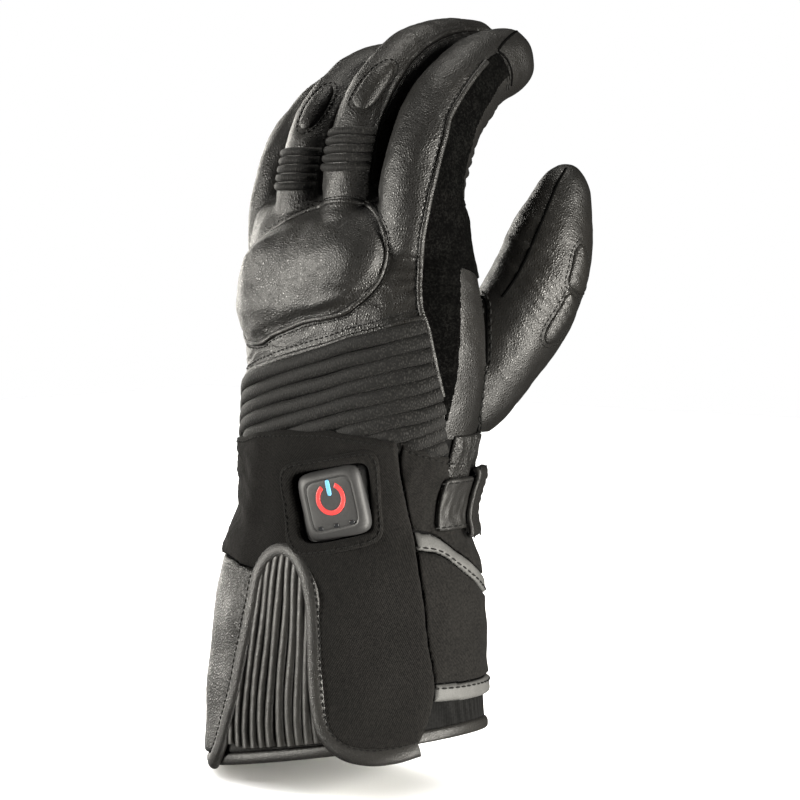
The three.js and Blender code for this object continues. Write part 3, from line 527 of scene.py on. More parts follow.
# %% Making a piece
def mesh_from(name, points, faces, finish, cloth=None, numbers=None):
    mesh = bpy.data.meshes.new(name)
    mesh.from_pydata((np.asarray(points) * MM).tolist(), [], [list(map(int, f)) for f in faces])
    mesh.materials.append(finish)
    if cloth is not None:
        corners = np.empty(len(mesh.loops), int)
        mesh.loops.foreach_get("vertex_index", corners)
        layer = mesh.uv_layers.new(name="cloth")
        layer.data.foreach_set("uv", (np.asarray(cloth)[corners] * MM).ravel())
    for label, values in (numbers or {}).items():
        mesh.attributes.new(label, "FLOAT", "POINT").data.foreach_set("value", np.asarray(values, float))
    mesh.polygons.foreach_set("use_smooth", [True] * len(mesh.polygons))
    mesh.update()
    made = bpy.data.objects.new(name, mesh)
    bpy.context.collection.objects.link(made)
    return made


def settle(piece, slot, *nodes):
    """The last step for a piece: it rides on the glove and stands for its solids."""
    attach(piece, "root")
    if nodes:
        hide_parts(*nodes)
    print(piece.name, "faces:", len(piece.data.polygons))


def rings_to_mesh(rings):
    """Quads between rings of points, with a fan over each end."""
    rows, sides = len(rings), len(rings[0])
    points = np.concatenate(rings)
    r, s = np.meshgrid(np.arange(rows - 1), np.arange(sides), indexing="ij")
    a, b = r * sides + s, r * sides + (s + 1) % sides
    faces = np.stack([a, b, b + sides, a + sides], -1).reshape(-1, 4).tolist()
    for ring, first, flip in ((rings[0], 0, True), (rings[-1], (rows - 1) * sides, False)):
        hub = len(points)
        points = np.vstack([points, np.mean(ring, 0)])
        for s in range(sides):
            pair = (first + s, first + (s + 1) % sides)
            faces.append([*(pair[::-1] if flip else pair), hub])
    return points, faces


def normals_of(points, faces):
    """A normal at each point, from the faces round it."""
    faces = np.asarray(faces)
    one, two = points[faces[:, 2]] - points[faces[:, 0]], points[faces[:, -1]] - points[faces[:, 1]]
    flat = np.cross(one, two)
    total = np.zeros_like(points)
    for k in range(faces.shape[1]):
        for axis in range(3):
            total[:, axis] += np.bincount(faces[:, k], flat[:, axis], len(points))
    return total / np.maximum(np.linalg.norm(total, axis=1), 1e-12)[:, None]


# %% [markdown]
# Seams and panel edges are read off the photograph. The camera is known, so a place on the
# glove can be found whose picture lands on a given pixel: a coarse search, then three small
# corrections. The place is still on the surface, so the piece sits on the glove from any side.

# %% Find places by pixel
def picture(points):
    offset = np.asarray(points) - stand / MM
    scale = FRAME_PIXELS * LENS / SENSOR / -(offset @ view_back)
    across, down = scale * (offset @ view_right), -scale * (offset @ view_up)
    return FRAME_MIDDLE + np.stack([across, down], -1)


def traced(surface, pixels, around, height, lift=0.0):
    """Places (around, height) on a surface whose picture lands on the pixels."""
    a, h = [side.ravel() for side in np.meshgrid(np.arange(*around, 1.0), np.arange(*height, 1.0))]
    near = surface(a, h, lift)
    facing = (surface(a, h, lift + 1.0) - near) @ view_back > 0.02
    flat = picture(near)
    found, nudge = [], 0.2
    moves = ((0, 0), (nudge, 0), (0, nudge))
    for pixel in pixels:
        away = np.where(facing, ((flat - pixel) ** 2).sum(1), 1e9)
        place = np.array([a[away.argmin()], h[away.argmin()]])
        for _ in range(3):
            here, side, up = (picture(surface(*(place + move), lift)) for move in moves)
            slope = np.stack([side - here, up - here], -1) / nudge
            step = np.linalg.lstsq(slope, np.array(pixel) - here, rcond=1e-2)[0]
            place = place + np.clip(step, -1.5, 1.5)
        found.append(place)
    return np.array(found)


def rounded_line(places, spacing=1.5, closed=False):
    """A smooth line through places, with points about spacing apart."""
    places = np.asarray(places, float)
    if closed:
        places = np.vstack([places[-2:], places, places[:2]])
    line = smooth_line(places)
    if closed:
        away = np.linalg.norm(line - places[2], axis=1)
        half = len(line) // 2
        line = line[away[:half].argmin():half + away[half:].argmin() + 1]
    length = np.linalg.norm(np.diff(line, axis=0), axis=1).sum()
    return even(line, max(int(length / spacing), 4))


# %% [markdown]
# A panel is a fine grid cut along its outline. The cut goes through the grid's triangles where
# the distance to the outline is zero, so an edge is as smooth as the outline is. Then the top
# rises from the edge like a rolled hem, a second sheet closes it below, and both share the rim.
# A degree round the hand is about 0.85 mm, so places are flattened by that before they are cut.

# %% Cut a panel and roll its edges
MM_PER_DEGREE = 0.85
FLAT = (MM_PER_DEGREE, 1)


def flattened(around, z):
    return np.stack([around * MM_PER_DEGREE, z], -1)


def inside_of(points, outline):
    """Distance to an outline, positive inside it."""
    a = np.asarray(outline, float)
    side = np.roll(a, -1, 0) - a
    rel = points[:, None] - a[None]
    t = np.clip((rel * side).sum(-1) / np.maximum((side**2).sum(-1), 1e-9), 0, 1)
    away = np.sqrt(((rel - t[..., None] * side) ** 2).sum(-1)).min(1)
    above = a[None, :, 1] > points[:, None, 1]
    crossing = above != np.roll(above, -1, 1)
    rise = np.where(np.abs(side[:, 1]) < 1e-9, 1e-9, side[:, 1])
    hit = a[:, 0] + (points[:, None, 1] - a[:, 1]) * side[:, 0] / rise
    odd = (crossing & (points[:, None, 0] < hit)).sum(1) % 2 == 1
    return np.where(odd, away, -away)


def clipped(data, triangles, value):
    """Cuts triangles along value = 0 and keeps what is above."""
    count = (value[triangles] >= 0).sum(1)
    faces = triangles[count == 3].tolist()
    extra, made = [], {}

    def on_edge(i, j):
        key = (min(i, j), max(i, j))
        if key not in made:
            made[key] = len(data) + len(extra)
            extra.append(data[i] + value[i] / (value[i] - value[j]) * (data[j] - data[i]))
        return made[key]

    for tri in triangles[(count == 1) | (count == 2)].tolist():
        inside = [value[i] >= 0 for i in tri]
        odd = inside.index(sum(inside) == 1)
        a, b, c = tri[odd], tri[(odd + 1) % 3], tri[(odd + 2) % 3]
        ab, ac = on_edge(a, b), on_edge(a, c)
        faces += [[a, ab, ac]] if sum(inside) == 1 else [[ab, b, c], [ab, c, ac]]
    data = np.vstack([data] + extra)
    used, faces = np.unique(faces, return_inverse=True)
    return data[used], faces.reshape(-1, 3)


def close_sheet(name, finish, upper, lower, faces, rim, cloth=None):
    """Joins an upper and a lower sheet along their rim."""
    if (normals_of(upper, faces) * (upper - lower)).sum() < 0:
        faces = faces[:, ::-1]
    inner = np.where(~rim)[0]
    below = np.arange(len(upper))
    below[inner] = len(upper) + np.arange(len(inner))
    points = np.vstack([upper, lower[inner]])
    both = np.vstack([faces, below[faces][:, ::-1]])
    if cloth is not None:
        cloth = np.concatenate([cloth, cloth[inner]])
    return mesh_from(name, points, both, finish, cloth)


def flat_grid(outline, cell):
    low, high = outline.min(0) - cell, outline.max(0) + 2 * cell
    u, v = np.meshgrid(np.arange(low[0], high[0], cell), np.arange(low[1], high[1], cell))
    rows, columns = u.shape
    i = (np.arange(rows - 1)[:, None] * columns + np.arange(columns - 1)).ravel()
    a, b, c, d = i, i + 1, i + columns + 1, i + columns
    lean = (i % 2 == 0)[:, None]
    one = np.where(lean, np.stack([a, b, c], -1), np.stack([a, b, d], -1))
    two = np.where(lean, np.stack([a, c, d], -1), np.stack([b, c, d], -1))
    return np.stack([u.ravel(), v.ravel()], -1), np.vstack([one, two])


def panel(
    name, finish, surface, outline, height, base, cell=1.0, edge=1.2, detail=None,
    per_degree=MM_PER_DEGREE, inside=inside_of,
):
    """A sheet with a rolled edge, raised from base by height and by what detail adds."""
    outline = np.asarray(outline) * (per_degree, 1)
    grid, triangles = flat_grid(outline, cell)
    depth = inside(grid, outline)
    data, faces = clipped(np.column_stack([grid, depth]), triangles, depth)
    around, up, depth = data[:, 0] / per_degree, data[:, 1], np.maximum(data[:, 2], 0)
    rolled = np.sqrt(1 - (1 - np.clip(depth / edge, 0, 1)) ** 2)
    lift = base + height * rolled
    if detail is not None:
        lift = lift + rolled * detail(around, up, depth)
    upper, lower = surface(around, up, lift), surface(around, up, 0 * lift + base)
    rim = depth < 1e-6
    return close_sheet(name, finish, upper, lower, faces, rim, data[:, :2])


def soft_noise(points, size, seed, waves=28):
    """A smooth random height between about -1 and 1, from waves in random directions."""
    dice = np.random.default_rng(seed)
    way = dice.normal(size=(waves, points.shape[1]))
    way *= dice.uniform(0.6, 1.5, (waves, 1)) / np.linalg.norm(way, axis=1)[:, None]
    phase = dice.uniform(0, 6.3, waves)
    return np.sin(points @ way.T * (2 * math.pi / size) + phase).sum(1) / math.sqrt(waves)


# %% [markdown]
# Stitches, cords and ribs follow lines on the glove, which is work for Geometry Nodes. Each
# line is a chain of mesh edges that carries the outward direction as an attribute. One tree
# sets a thread bead every few millimetres, another sweeps an oval along the line.

# %% Geometry Nodes for stitches, cords and ribs
def new_tree(name, inputs):
    tree = bpy.data.node_groups.new(name, "GeometryNodeTree")
    tree.interface.new_socket("Geometry", in_out="INPUT", socket_type="NodeSocketGeometry")
    for label, kind, value in inputs:
        socket = tree.interface.new_socket(label, in_out="INPUT", socket_type=kind)
        if value is not None:
            socket.default_value = value
    tree.interface.new_socket("Geometry", in_out="OUTPUT", socket_type="NodeSocketGeometry")
    return tree


def tree_node(tree, kind, settings=None, **inputs):
    made = tree.nodes.new(kind)
    for key, value in (settings or {}).items():
        setattr(made, key, value)
    for key, value in inputs.items():
        socket = made.inputs[key.replace("_", " ")]
        if isinstance(value, bpy.types.NodeSocket):
            tree.links.new(value, socket)
        else:
            socket.default_value = value
    return made


def finish_tree(tree, geometry, given):
    real = tree_node(tree, "GeometryNodeRealizeInstances", Geometry=geometry)
    even_shade = tree_node(tree, "GeometryNodeSetShadeSmooth", Geometry=real.outputs[0])
    coated = tree_node(
        tree, "GeometryNodeSetMaterial", Geometry=even_shade.outputs[0], Material=given["Finish"],
    )
    out = tree.nodes.new("NodeGroupOutput")
    tree.links.new(coated.outputs[0], out.inputs["Geometry"])


def named_attribute(tree, name, kind):
    return tree_node(tree, "GeometryNodeInputNamedAttribute", {"data_type": kind}, Name=name).outputs[0]


stitch_tree = new_tree("stitch_row", [
    ("Pitch", "NodeSocketFloat", 0.0028),
    ("Stitch Length", "NodeSocketFloat", 0.002),
    ("Thread Width", "NodeSocketFloat", 0.0006),
    ("Finish", "NodeSocketMaterial", None),
])
given = stitch_tree.nodes.new("NodeGroupInput").outputs
line = tree_node(stitch_tree, "GeometryNodeMeshToCurve", Mesh=given["Geometry"])
spaced = tree_node(
    stitch_tree, "GeometryNodeResampleCurve", {"mode": "LENGTH"},
    Curve=line.outputs[0], Length=given["Pitch"],
)
bead = tree_node(stitch_tree, "GeometryNodeMeshUVSphere", Segments=8, Rings=5, Radius=0.5)
tangent = tree_node(stitch_tree, "GeometryNodeInputTangent")
facing_out = tree_node(
    stitch_tree, "FunctionNodeAxesToRotation", {"primary_axis": "X", "secondary_axis": "Z"},
    Primary_Axis=tangent.outputs[0], Secondary_Axis=named_attribute(stitch_tree, "outward", "FLOAT_VECTOR"),
)
size = tree_node(
    stitch_tree, "ShaderNodeCombineXYZ",
    X=given["Stitch Length"], Y=given["Thread Width"], Z=given["Thread Width"],
)
beads = tree_node(
    stitch_tree, "GeometryNodeInstanceOnPoints", Points=spaced.outputs[0], Instance=bead.outputs[0],
    Rotation=facing_out.outputs[0], Scale=size.outputs[0],
)
finish_tree(stitch_tree, beads.outputs[0], given)

sweep_tree = new_tree("swept_oval", [
    ("Width", "NodeSocketFloat", 0.003),
    ("Height", "NodeSocketFloat", 0.003),
    ("Sides", "NodeSocketInt", 12),
    ("Finish", "NodeSocketMaterial", None),
])
given = sweep_tree.nodes.new("NodeGroupInput").outputs
line = tree_node(sweep_tree, "GeometryNodeMeshToCurve", Mesh=given["Geometry"])
upright = tree_node(
    sweep_tree, "GeometryNodeSetCurveNormal", {"mode": "FREE"},
    Curve=line.outputs[0], Normal=named_attribute(sweep_tree, "outward", "FLOAT_VECTOR"),
)
swell = named_attribute(sweep_tree, "swell", "FLOAT")
sized = tree_node(sweep_tree, "GeometryNodeSetCurveRadius", Curve=upright.outputs[0], Radius=swell)
circle = tree_node(sweep_tree, "GeometryNodeCurvePrimitiveCircle", Resolution=given["Sides"], Radius=0.5)
oval_size = tree_node(sweep_tree, "ShaderNodeCombineXYZ", X=given["Height"], Y=given["Width"], Z=1.0)
oval = tree_node(sweep_tree, "GeometryNodeTransform", Geometry=circle.outputs[0], Scale=oval_size.outputs[0])
swept = tree_node(
    sweep_tree, "GeometryNodeCurveToMesh",
    Curve=sized.outputs[0], Profile_Curve=oval.outputs[0], Fill_Caps=True,
)
finish_tree(sweep_tree, swept.outputs[0], given)


def grown(name, tree, lines, **values):
    """Runs a tree on lines of (points, outward, swell) in mm and keeps the mesh."""
    points, edges, outward, swell = [], [], [], []
    for line_points, line_out, line_swell in lines:
        first = len(points)
        points += list(line_points)
        outward += list(line_out)
        swell += list(np.broadcast_to(line_swell, len(line_points)))
        edges += [(first + i, first + i + 1) for i in range(len(line_points) - 1)]
    mesh = bpy.data.meshes.new(name)
    mesh.from_pydata((np.array(points) * MM).tolist(), edges, [])
    outs = mesh.attributes.new("outward", "FLOAT_VECTOR", "POINT")
    outs.data.foreach_set("vector", np.array(outward).ravel())
    mesh.attributes.new("swell", "FLOAT", "POINT").data.foreach_set("value", np.array(swell, float))
    made = bpy.data.objects.new(name, mesh)
    bpy.context.collection.objects.link(made)
    grow = made.modifiers.new("grow", "NODES")
    grow.node_group = tree
    for item in tree.interface.items_tree:
        if item.item_type == "SOCKET" and item.in_out == "INPUT" and item.name.replace(" ", "_") in values:
            grow[item.identifier] = values[item.name.replace(" ", "_")]
    ready = bpy.data.meshes.new_from_object(made.evaluated_get(bpy.context.evaluated_depsgraph_get()))
    made.modifiers.remove(grow)
    made.data = ready
    return made


def sweep(name, lines, width, height, sides, finish, slot, *nodes):
    """One piece of ovals swept along lines, with its sizes in mm."""
    sizes = {"Width": width * MM, "Height": height * MM, "Sides": sides}
    settle(grown(name, sweep_tree, lines, Finish=finish, **sizes), slot, *nodes)


def stitch(name, rows, pitch, length, width, slot):
    """One piece of stitch rows, with its sizes in mm."""
    sizes = {"Pitch": pitch * MM, "Stitch_Length": length * MM, "Thread_Width": width * MM}
    settle(grown(name, stitch_tree, rows, Finish=THREAD, **sizes), slot)


def line_on(surface, places, lift, swell=1.0):
    """A line of (around, height) places on a surface, with its outward directions."""
    places = np.asarray(places, float)
    here = surface(places[:, 0], places[:, 1], lift)
    out = surface(places[:, 0], places[:, 1], np.asarray(lift) + 1.0) - here
    return here, unit(out), swell


print("trees:", stitch_tree.name, sweep_tree.name)

# %% [markdown]
# The hand is one skin of leather. Rather than joining five tubes by hand, the palm, fingers and
# thumb are laid over each other and remeshed with small voxels, which fuses them as wet clay
# would. The sides of neighbouring fingers are sunk first, where the narrow strips between a
# glove's fingers, the fourchettes, are sewn in, so the fingers stay apart. Each root draws in
# a little too, so a finger rises softly out of the hand.

# %% Fuse the hand
def sunk_side(tube, around, along, left, right):
    """How far a finger's side wall is sunk where a neighbour faces it."""
    turned = (np.asarray(around) + 180) % 360 - 180
    wall = np.clip(1 - ((np.abs(turned) - 90) / 38) ** 4, 0, 1) ** 0.5
    start = np.clip((along - 8) / 14, 0, 1)
    end = np.clip((tube.length - along) / 14, 0, 1)
    return -1.7 * wall * start * end * np.where(turned < 0, left, right)


def root_sink(tube, t):
    """How far a finger's root draws in, in mm, so that it rises softly out of the hand."""
    deepest, over = (4.6, 26) if tube is little else (2.4, 18)
    return -deepest * max(1 - t / over, 0) ** 2


def finger_rings(tube, left, right, low=2.0):
    around = np.linspace(0, 360, 72, endpoint=False)
    straight = np.arange(low, tube.length - TIP_LENGTH, 1.5)
    tip = tube.length - TIP_LENGTH + TIP_LENGTH * np.sin(np.linspace(0, 0.97, 10) * math.pi / 2)
    rings = []
    for t in np.concatenate([straight, tip]):
        lift = sunk_side(tube, around, t, left, right) + root_sink(tube, t)
        rings.append(tube.point(around, t, lift))
    return rings


HAND_LOW, HAND_TOP, HAND_DOME = 113.5, 196, 5


def dome_lift(z, start):
    """How far the hand's form draws in above the height where its dome starts."""
    return -2.5 * (max(z - start, 0) / HAND_DOME) ** 3


around_ring = np.linspace(0, 360, 120, endpoint=False)
dome_levels = HAND_TOP + HAND_DOME * np.sin(np.linspace(0, 1, 6) * math.pi / 2)
hand_levels = np.concatenate([np.arange(HAND_LOW, HAND_TOP, 2), dome_levels])
forms = [[on_body(around_ring, z, dome_lift(z, HAND_TOP)) for z in hand_levels]]
forms += [finger_rings(*sides) for sides in ((index, 1, 0), (middle, 1, 1), (ring, 1, 1), (little, 0, 1))]
forms += [finger_rings(thumb, 0, 0, 1.0)]


def fused(name, forms, voxel):
    """One closed skin round all the forms, from voxels of the given size in mm."""
    points, faces, count = [], [], 0
    for form in forms:
        form_points, form_faces = rings_to_mesh(form)
        points.append(form_points)
        faces += [[count + i for i in face] for face in form_faces]
        count += len(form_points)
    clay = mesh_from(name, np.vstack(points), faces, GLOVE_LEATHER)
    voxels = clay.modifiers.new("fuse", "REMESH")
    voxels.mode = "VOXEL"
    voxels.voxel_size = voxel * MM
    made = bpy.data.meshes.new_from_object(clay.evaluated_get(bpy.context.evaluated_depsgraph_get()))
    bpy.data.objects.remove(clay)
    skin, quads = np.empty(len(made.vertices) * 3), np.empty(len(made.polygons) * 4, int)
    made.vertices.foreach_get("co", skin)
    made.polygons.foreach_get("vertices", quads)
    return skin.reshape(-1, 3) / MM, quads.reshape(-1, 4)


skin_points, skin_faces = fused("outer_skin", forms, 1.0)
print("hand skin before smoothing:", skin_points.shape, skin_faces.shape)


# %% [markdown]
# Voxels leave fine steps. A pass that shrinks a little and then swells by the same amount
# smooths them without thinning the fingers.

# %% Smooth the skin
def smoothed(points, faces, rounds):
    faces = np.asarray(faces)
    corners = faces.shape[1]
    ends = np.vstack([faces[:, [k, (k + 1) % corners]] for k in range(corners)])
    ends = np.unique(np.sort(ends, 1), axis=0)
    ends = np.vstack([ends, ends[:, ::-1]])
    share = np.bincount(ends[:, 0], minlength=len(points))
    for turn in range(2 * rounds):
        pull = np.stack([np.bincount(ends[:, 0], points[ends[:, 1], k], len(points)) for k in range(3)], -1)
        step = (pull / np.maximum(share, 1)[:, None] - points) * (0.5 if turn % 2 == 0 else -0.52)
        points = points + step
    return points


skin_points = smoothed(skin_points, skin_faces, 6)
print("hand skin box:", skin_points.min(0).round(1), skin_points.max(0).round(1))

# %% [markdown]
# Each point of the fused skin is then told which finger it belongs to, and where on it. With
# that the seams are known: a fourchette starts about 56 degrees from the middle of a finger's
# back and ends on the palm side. The distance to its seam is kept on the skin as a number, so
# the leather finish can cut a groove there that is finer than the mesh, and paint shade into
# that groove and over the fourchette walls between the fingers.

# %% Chart the skin and find the fourchettes
def chart(tube, points):
    """Where points are on a tube: around, along, and how far out in the tube's own radii."""
    place = np.linspace(0, tube.length, 200)
    centres = tube.read(tube.centres, place)
    parts = np.array_split(points, CHUNKS)
    near = np.concatenate([((part[:, None] - centres) ** 2).sum(-1).argmin(1) for part in parts])
    along = place[near]
    offset = points - centres[near]
    breadth, depth = np.moveaxis(tube.section(along / tube.length), -1, 0)
    side = (offset * tube.read(tube.sides, along)).sum(1) / breadth
    back = (offset * tube.read(tube.backs, along)).sum(1) / depth
    unsquare = lambda v: np.sign(v) * np.abs(v) ** (ROUNDNESS / 2)
    around = np.degrees(np.arctan2(unsquare(side), unsquare(back)))
    return around, along, (np.abs(side) ** ROUNDNESS + np.abs(back) ** ROUNDNESS) ** (1 / ROUNDNESS)


charts = np.array([chart(tube, skin_points) for tube in FINGERS + [thumb]])
owner = charts[:, 2].argmin(0)
around_here, along_here, out_here = charts[owner, :, np.arange(len(skin_points))].T
ON_THUMB, ON_HAND = 4, 5
ROOTS_Z, OUT_OF_REACH = 185, 1.22
owner[(skin_points[:, 2] < ROOTS_Z) & (owner < ON_THUMB)] = ON_HAND
owner[out_here > OUT_OF_REACH] = ON_HAND

WALL_FROM, WALL_TO = 56.0, 128.0
WEBS = {"index": 25.0, "middle": 21.0, "ring": 24.0, "little": 36.0}
SUNK = {"index": (True, False), "middle": (True, True), "ring": (True, True), "little": (False, True)}
NO_SEAM = 9.0
seam_away = np.full(len(skin_points), NO_SEAM)
for number, tube in enumerate(FINGERS):
    mine = owner == number
    around, along = around_here[mine], along_here[mine]
    size = np.abs(around)
    away = np.maximum(WALL_FROM - size, size - WALL_TO) * 0.25
    away = np.maximum(away, np.maximum(WEBS[tube.name] - along, along - tube.length + 8) * 0.8)
    left, right = SUNK[tube.name]
    away[(around < 0) & (not left)] = NO_SEAM
    away[(around > 0) & (not right)] = NO_SEAM
    seam_away[mine] = away
print("points on fourchettes:", int((seam_away < 0).sum()))

# %% [markdown]
# Leather that has been worn holds creases. The skin moves in and out along its normals: a
# ridge beside each seam, slow swells everywhere, short folds inside the bent joints, and the
# folds where the thumb bends. The deepest crease is about a millimetre and a half.

# %% Crease the skin
def hump(value, width):
    return np.exp(-((value / width) ** 2))


def wave(value, length):
    """A sine that repeats after a length in mm."""
    return np.sin(value * 2 * math.pi / length)


skin_normals = normals_of(skin_points, skin_faces)
move = 0.3 * soft_noise(skin_points, 30, 1) + 0.13 * soft_noise(skin_points, 11, 2)
move += 0.05 * soft_noise(skin_points, 5, 3)
move += 0.55 * hump(seam_away - 1.6, 1.3) * (seam_away < NO_SEAM - 1) - 0.6 * hump(seam_away + 0.1, 0.8)
wander = 0.9 * soft_noise(skin_points, 14, 4)
for number, tube in enumerate(FINGERS):
    mine = owner == number
    around, along = around_here, along_here + wander
    palm_side = np.clip((np.abs(around) - 112) / 25, 0, 1)
    back_side = np.clip((75 - np.abs(around)) / 25, 0, 1)
    for joint, reach in ((0.36, 9.0), (0.62, 8.0)):
        from_joint = along - joint * tube.length
        move += mine * palm_side * hump(from_joint, reach) * 0.7 * wave(from_joint, 5.2)
    tip_joint = along - 0.8 * tube.length
    move += mine * back_side * hump(tip_joint, 7) * 0.14 * wave(tip_joint, 1.9)
on_thumb = owner == ON_THUMB
inner_thumb = hump((around_here + 112) / 42, 1.0) ** 2
from_bend = along_here + 0.6 * wander - 73 + 0.05 * (around_here + 112)
folds = np.clip(wave(from_bend, 10.5), -0.4, 1) ** 3
move += on_thumb * inner_thumb * hump(from_bend, 15) * folds
thumb_back_folds = hump((around_here + 30) / 40, 1.0) * hump(along_here - 60, 10)
move += on_thumb * thumb_back_folds * 0.22 * wave(along_here + 0.14 * around_here + wander, 3.6)

RIB_TOP_PIXELS = [(245, 376), (267, 365), (300, 354), (350, 338), (400, 325), (424, 319)]
rib_top_places = traced(on_body, RIB_TOP_PIXELS, (-60, 100), (100, 180), PANEL_GAP)
first_z, last_z = rib_top_places[[0, -1], 1]
rib_top_places = np.vstack([(-90, first_z - 14), rib_top_places, (90, last_z + 8)])


def rib_top(around):
    return np.interp(around, rib_top_places[:, 0], rib_top_places[:, 1])


body_around = np.degrees(np.arctan2(skin_points[:, 0], -skin_points[:, 1]))
above_ribs = skin_points[:, 2] - rib_top(body_around)
band = (owner == ON_HAND) * np.clip((95 - np.abs(body_around)) / 20, 0, 1) * hump(above_ribs - 8, 7)
slant = above_ribs + 0.12 * body_around + 1.8 * soft_noise(skin_points, 24, 6)
move += band * 0.28 * wave(slant, 4.6)
skin_points = skin_points + skin_normals * move[:, None]
skin_points = smoothed(skin_points, skin_faces, 1)
skin_normals = normals_of(skin_points, skin_faces)
skin_tree = BVHTree.FromPolygons(skin_points.tolist(), skin_faces.tolist())
print("deepest crease in mm:", round(float(-move.min()), 2))


# %% [markdown]
# Everything else on the hand lies on this skin. Two helpers drop a place onto it: one along a
# ray from the camera through a pixel, the other straight down onto the leather from a chart.

# %% Lay lines and panels on the skin
def seen(pixels, spacing=2.0):
    """A line on the skin whose picture follows the pixels."""
    line = rounded_line(pixels, spacing)
    points, outs = [], []
    scale = FRAME_PIXELS * LENS / SENSOR
    for x, y in line - FRAME_MIDDLE:
        ray = view_right * x / scale - view_up * y / scale - view_back
        hit, normal, *_ = skin_tree.ray_cast(Vector(stand / MM), Vector(ray).normalized())
        if hit is not None:
            points.append(hit)
            outs.append(normal)
    return np.array(points), np.array(outs)


def laid_on_skin(surface, low=-8.0, high=14.0):
    """The same chart, but every place is dropped onto the skin."""
    def place(around, height, lift):
        around, height, lift = np.broadcast_arrays(np.asarray(around, float), height, lift)
        start = surface(around, height, high)
        out = unit(start - surface(around, height, high - 1.0))
        ground = surface(around, height, 0.0)
        for i, (point, away) in enumerate(zip(start, out)):
            hit, *_ = skin_tree.ray_cast(Vector(point), Vector(-away), high - low)
            if hit is not None:
                ground[i] = hit
        return ground + out * lift[:, None]
    return place


def eased(line, rounds=3):
    for _ in range(rounds):
        line = np.vstack([line[:1], (line[:-2] + 2 * line[1:-1] + line[2:]) / 4, line[-1:]])
    return line


def skin_line(pixels, lift, shift=0.0):
    """A line seen on the skin, moved sideways by shift and raised by lift."""
    points, outs = seen(pixels)
    points, outs = eased(points), unit(eased(outs, 6))
    side = unit(np.cross(np.gradient(points, axis=0), outs))
    from_end = np.minimum(np.arange(len(points)), np.arange(len(points))[::-1])
    return points + side * shift + outs * lift, outs, np.minimum(1, 0.25 + from_end / 5)


# %% [markdown]
# The suede strip runs from the index fingertip down the thumb side to the wrist. It is cut out
# of the skin itself: its left and right edges are lines on the skin, and a point is inside where
# it is to the right of one and to the left of the other. Lifted by three quarters of a
# millimetre and closed below, the cut-out becomes a strip that follows every swell of the leather.

# %% Cut the suede strip
SUEDE_LEFT_PIXELS = [
    (497, 52), (485, 61), (472, 77), (457, 100), (448, 117), (444, 135), (439, 153), (434, 174),
    (429, 194), (425, 215), (421, 236), (419, 262), (418, 290), (420, 312), (425, 325), (430, 348),
    (436, 375), (441, 397), (445, 422), (446, 446),
]
SUEDE_RIGHT_PIXELS = [(461, 262), (461, 300), (460, 345), (456, 385), (450, 412), (446, 432), (446, 447)]


def beside(points, line, outs):
    """Signed distance from a line on the skin, positive to its right seen from outside."""
    parts = np.array_split(points, CHUNKS)
    near = np.concatenate([((part[:, None] - line) ** 2).sum(-1).argmin(1) for part in parts])
    side = unit(np.cross(outs, np.gradient(line, axis=0)))
    offset = points - line[near]
    return (offset * side[near]).sum(1), np.linalg.norm(offset, axis=1)


left_line, left_outs = seen(SUEDE_LEFT_PIXELS)
left_line, left_outs = eased(left_line), eased(left_outs, 8)
steps_down = np.linspace(82, 24, 24)
finger_edge = laid_on_skin(index.point)(np.linspace(96, 116, 24), steps_down, 0.0)
hand_z = np.array([196, 190, 184, 178, 172])
hand_edge = laid_on_skin(on_body)(np.array([116, 116, 115.5, 115, 114.5]), hand_z, 0.0)
low_edge, _ = seen(SUEDE_RIGHT_PIXELS)
right_line = rounded_line(np.vstack([finger_edge, hand_edge, low_edge[4::8]]), 0.8)
right_outs = np.array([skin_tree.find_nearest(Vector(p))[1] for p in right_line])
right_outs = eased(right_outs, 8)
from_left, left_far = beside(skin_points, left_line, left_outs)
from_right, right_far = beside(skin_points, right_line, right_outs)
in_strip = np.minimum(from_left, -from_right)
on_index = owner == 0
in_strip = np.where(on_index, np.minimum(in_strip, 81.5 - along_here), in_strip)
in_strip = np.minimum(in_strip, skin_points[:, 2] - HAND_LOW - 2)
in_strip[(left_far > 34) | (right_far > 34)] = -5
in_strip[(owner > 0) & (owner <= ON_THUMB)] = -5
triangles = np.vstack([skin_faces[:, [0, 1, 2]], skin_faces[:, [0, 2, 3]]])
data, strip_faces = clipped(np.column_stack([skin_points, skin_normals, in_strip]), triangles, in_strip)
strip_depth = np.maximum(data[:, 6], 0)
strip_rim = strip_depth < 1e-6
raised = 0.75 * np.sqrt(1 - (1 - np.clip(strip_depth / 0.9, 0, 1)) ** 2) + 0.1 * soft_noise(data[:, :3], 4, 7)
raised = np.where(strip_rim, -0.25, raised)
strip_out = unit(data[:, 3:6])
suede_strip = close_sheet(
    "suede_strip", SUEDE, data[:, :3] + strip_out * raised[:, None], data[:, :3] - 0.25 * strip_out,
    strip_faces, strip_rim,
)
settle(suede_strip, "suede", "suede_panel")

# %% [markdown]
# A glove is a bag, so the hand is hollow. The same forms, made over two millimetres smaller and
# fused with larger voxels, give the inner wall. Both are cut level at the wrist, the inner one
# is turned round to face the hand, and a ring of triangles joins their edges.

# %% Hollow the hand and dress it in leather
OPENING_Z = 116.2
WALL = 2.2


def opened(points, quads, numbers):
    """A closed skin cut level at the wrist, and the points of its edge in order."""
    triangles = np.vstack([quads[:, [0, 1, 2]], quads[:, [0, 2, 3]]])
    data, faces = clipped(np.column_stack([points, numbers]), triangles, points[:, 2] - OPENING_Z)
    edge = np.where(np.abs(data[:, 2] - OPENING_Z) < 1e-6)[0]
    turn = np.arctan2(data[edge, 1], data[edge, 0])
    return data, faces, edge[turn.argsort()], np.sort(turn)


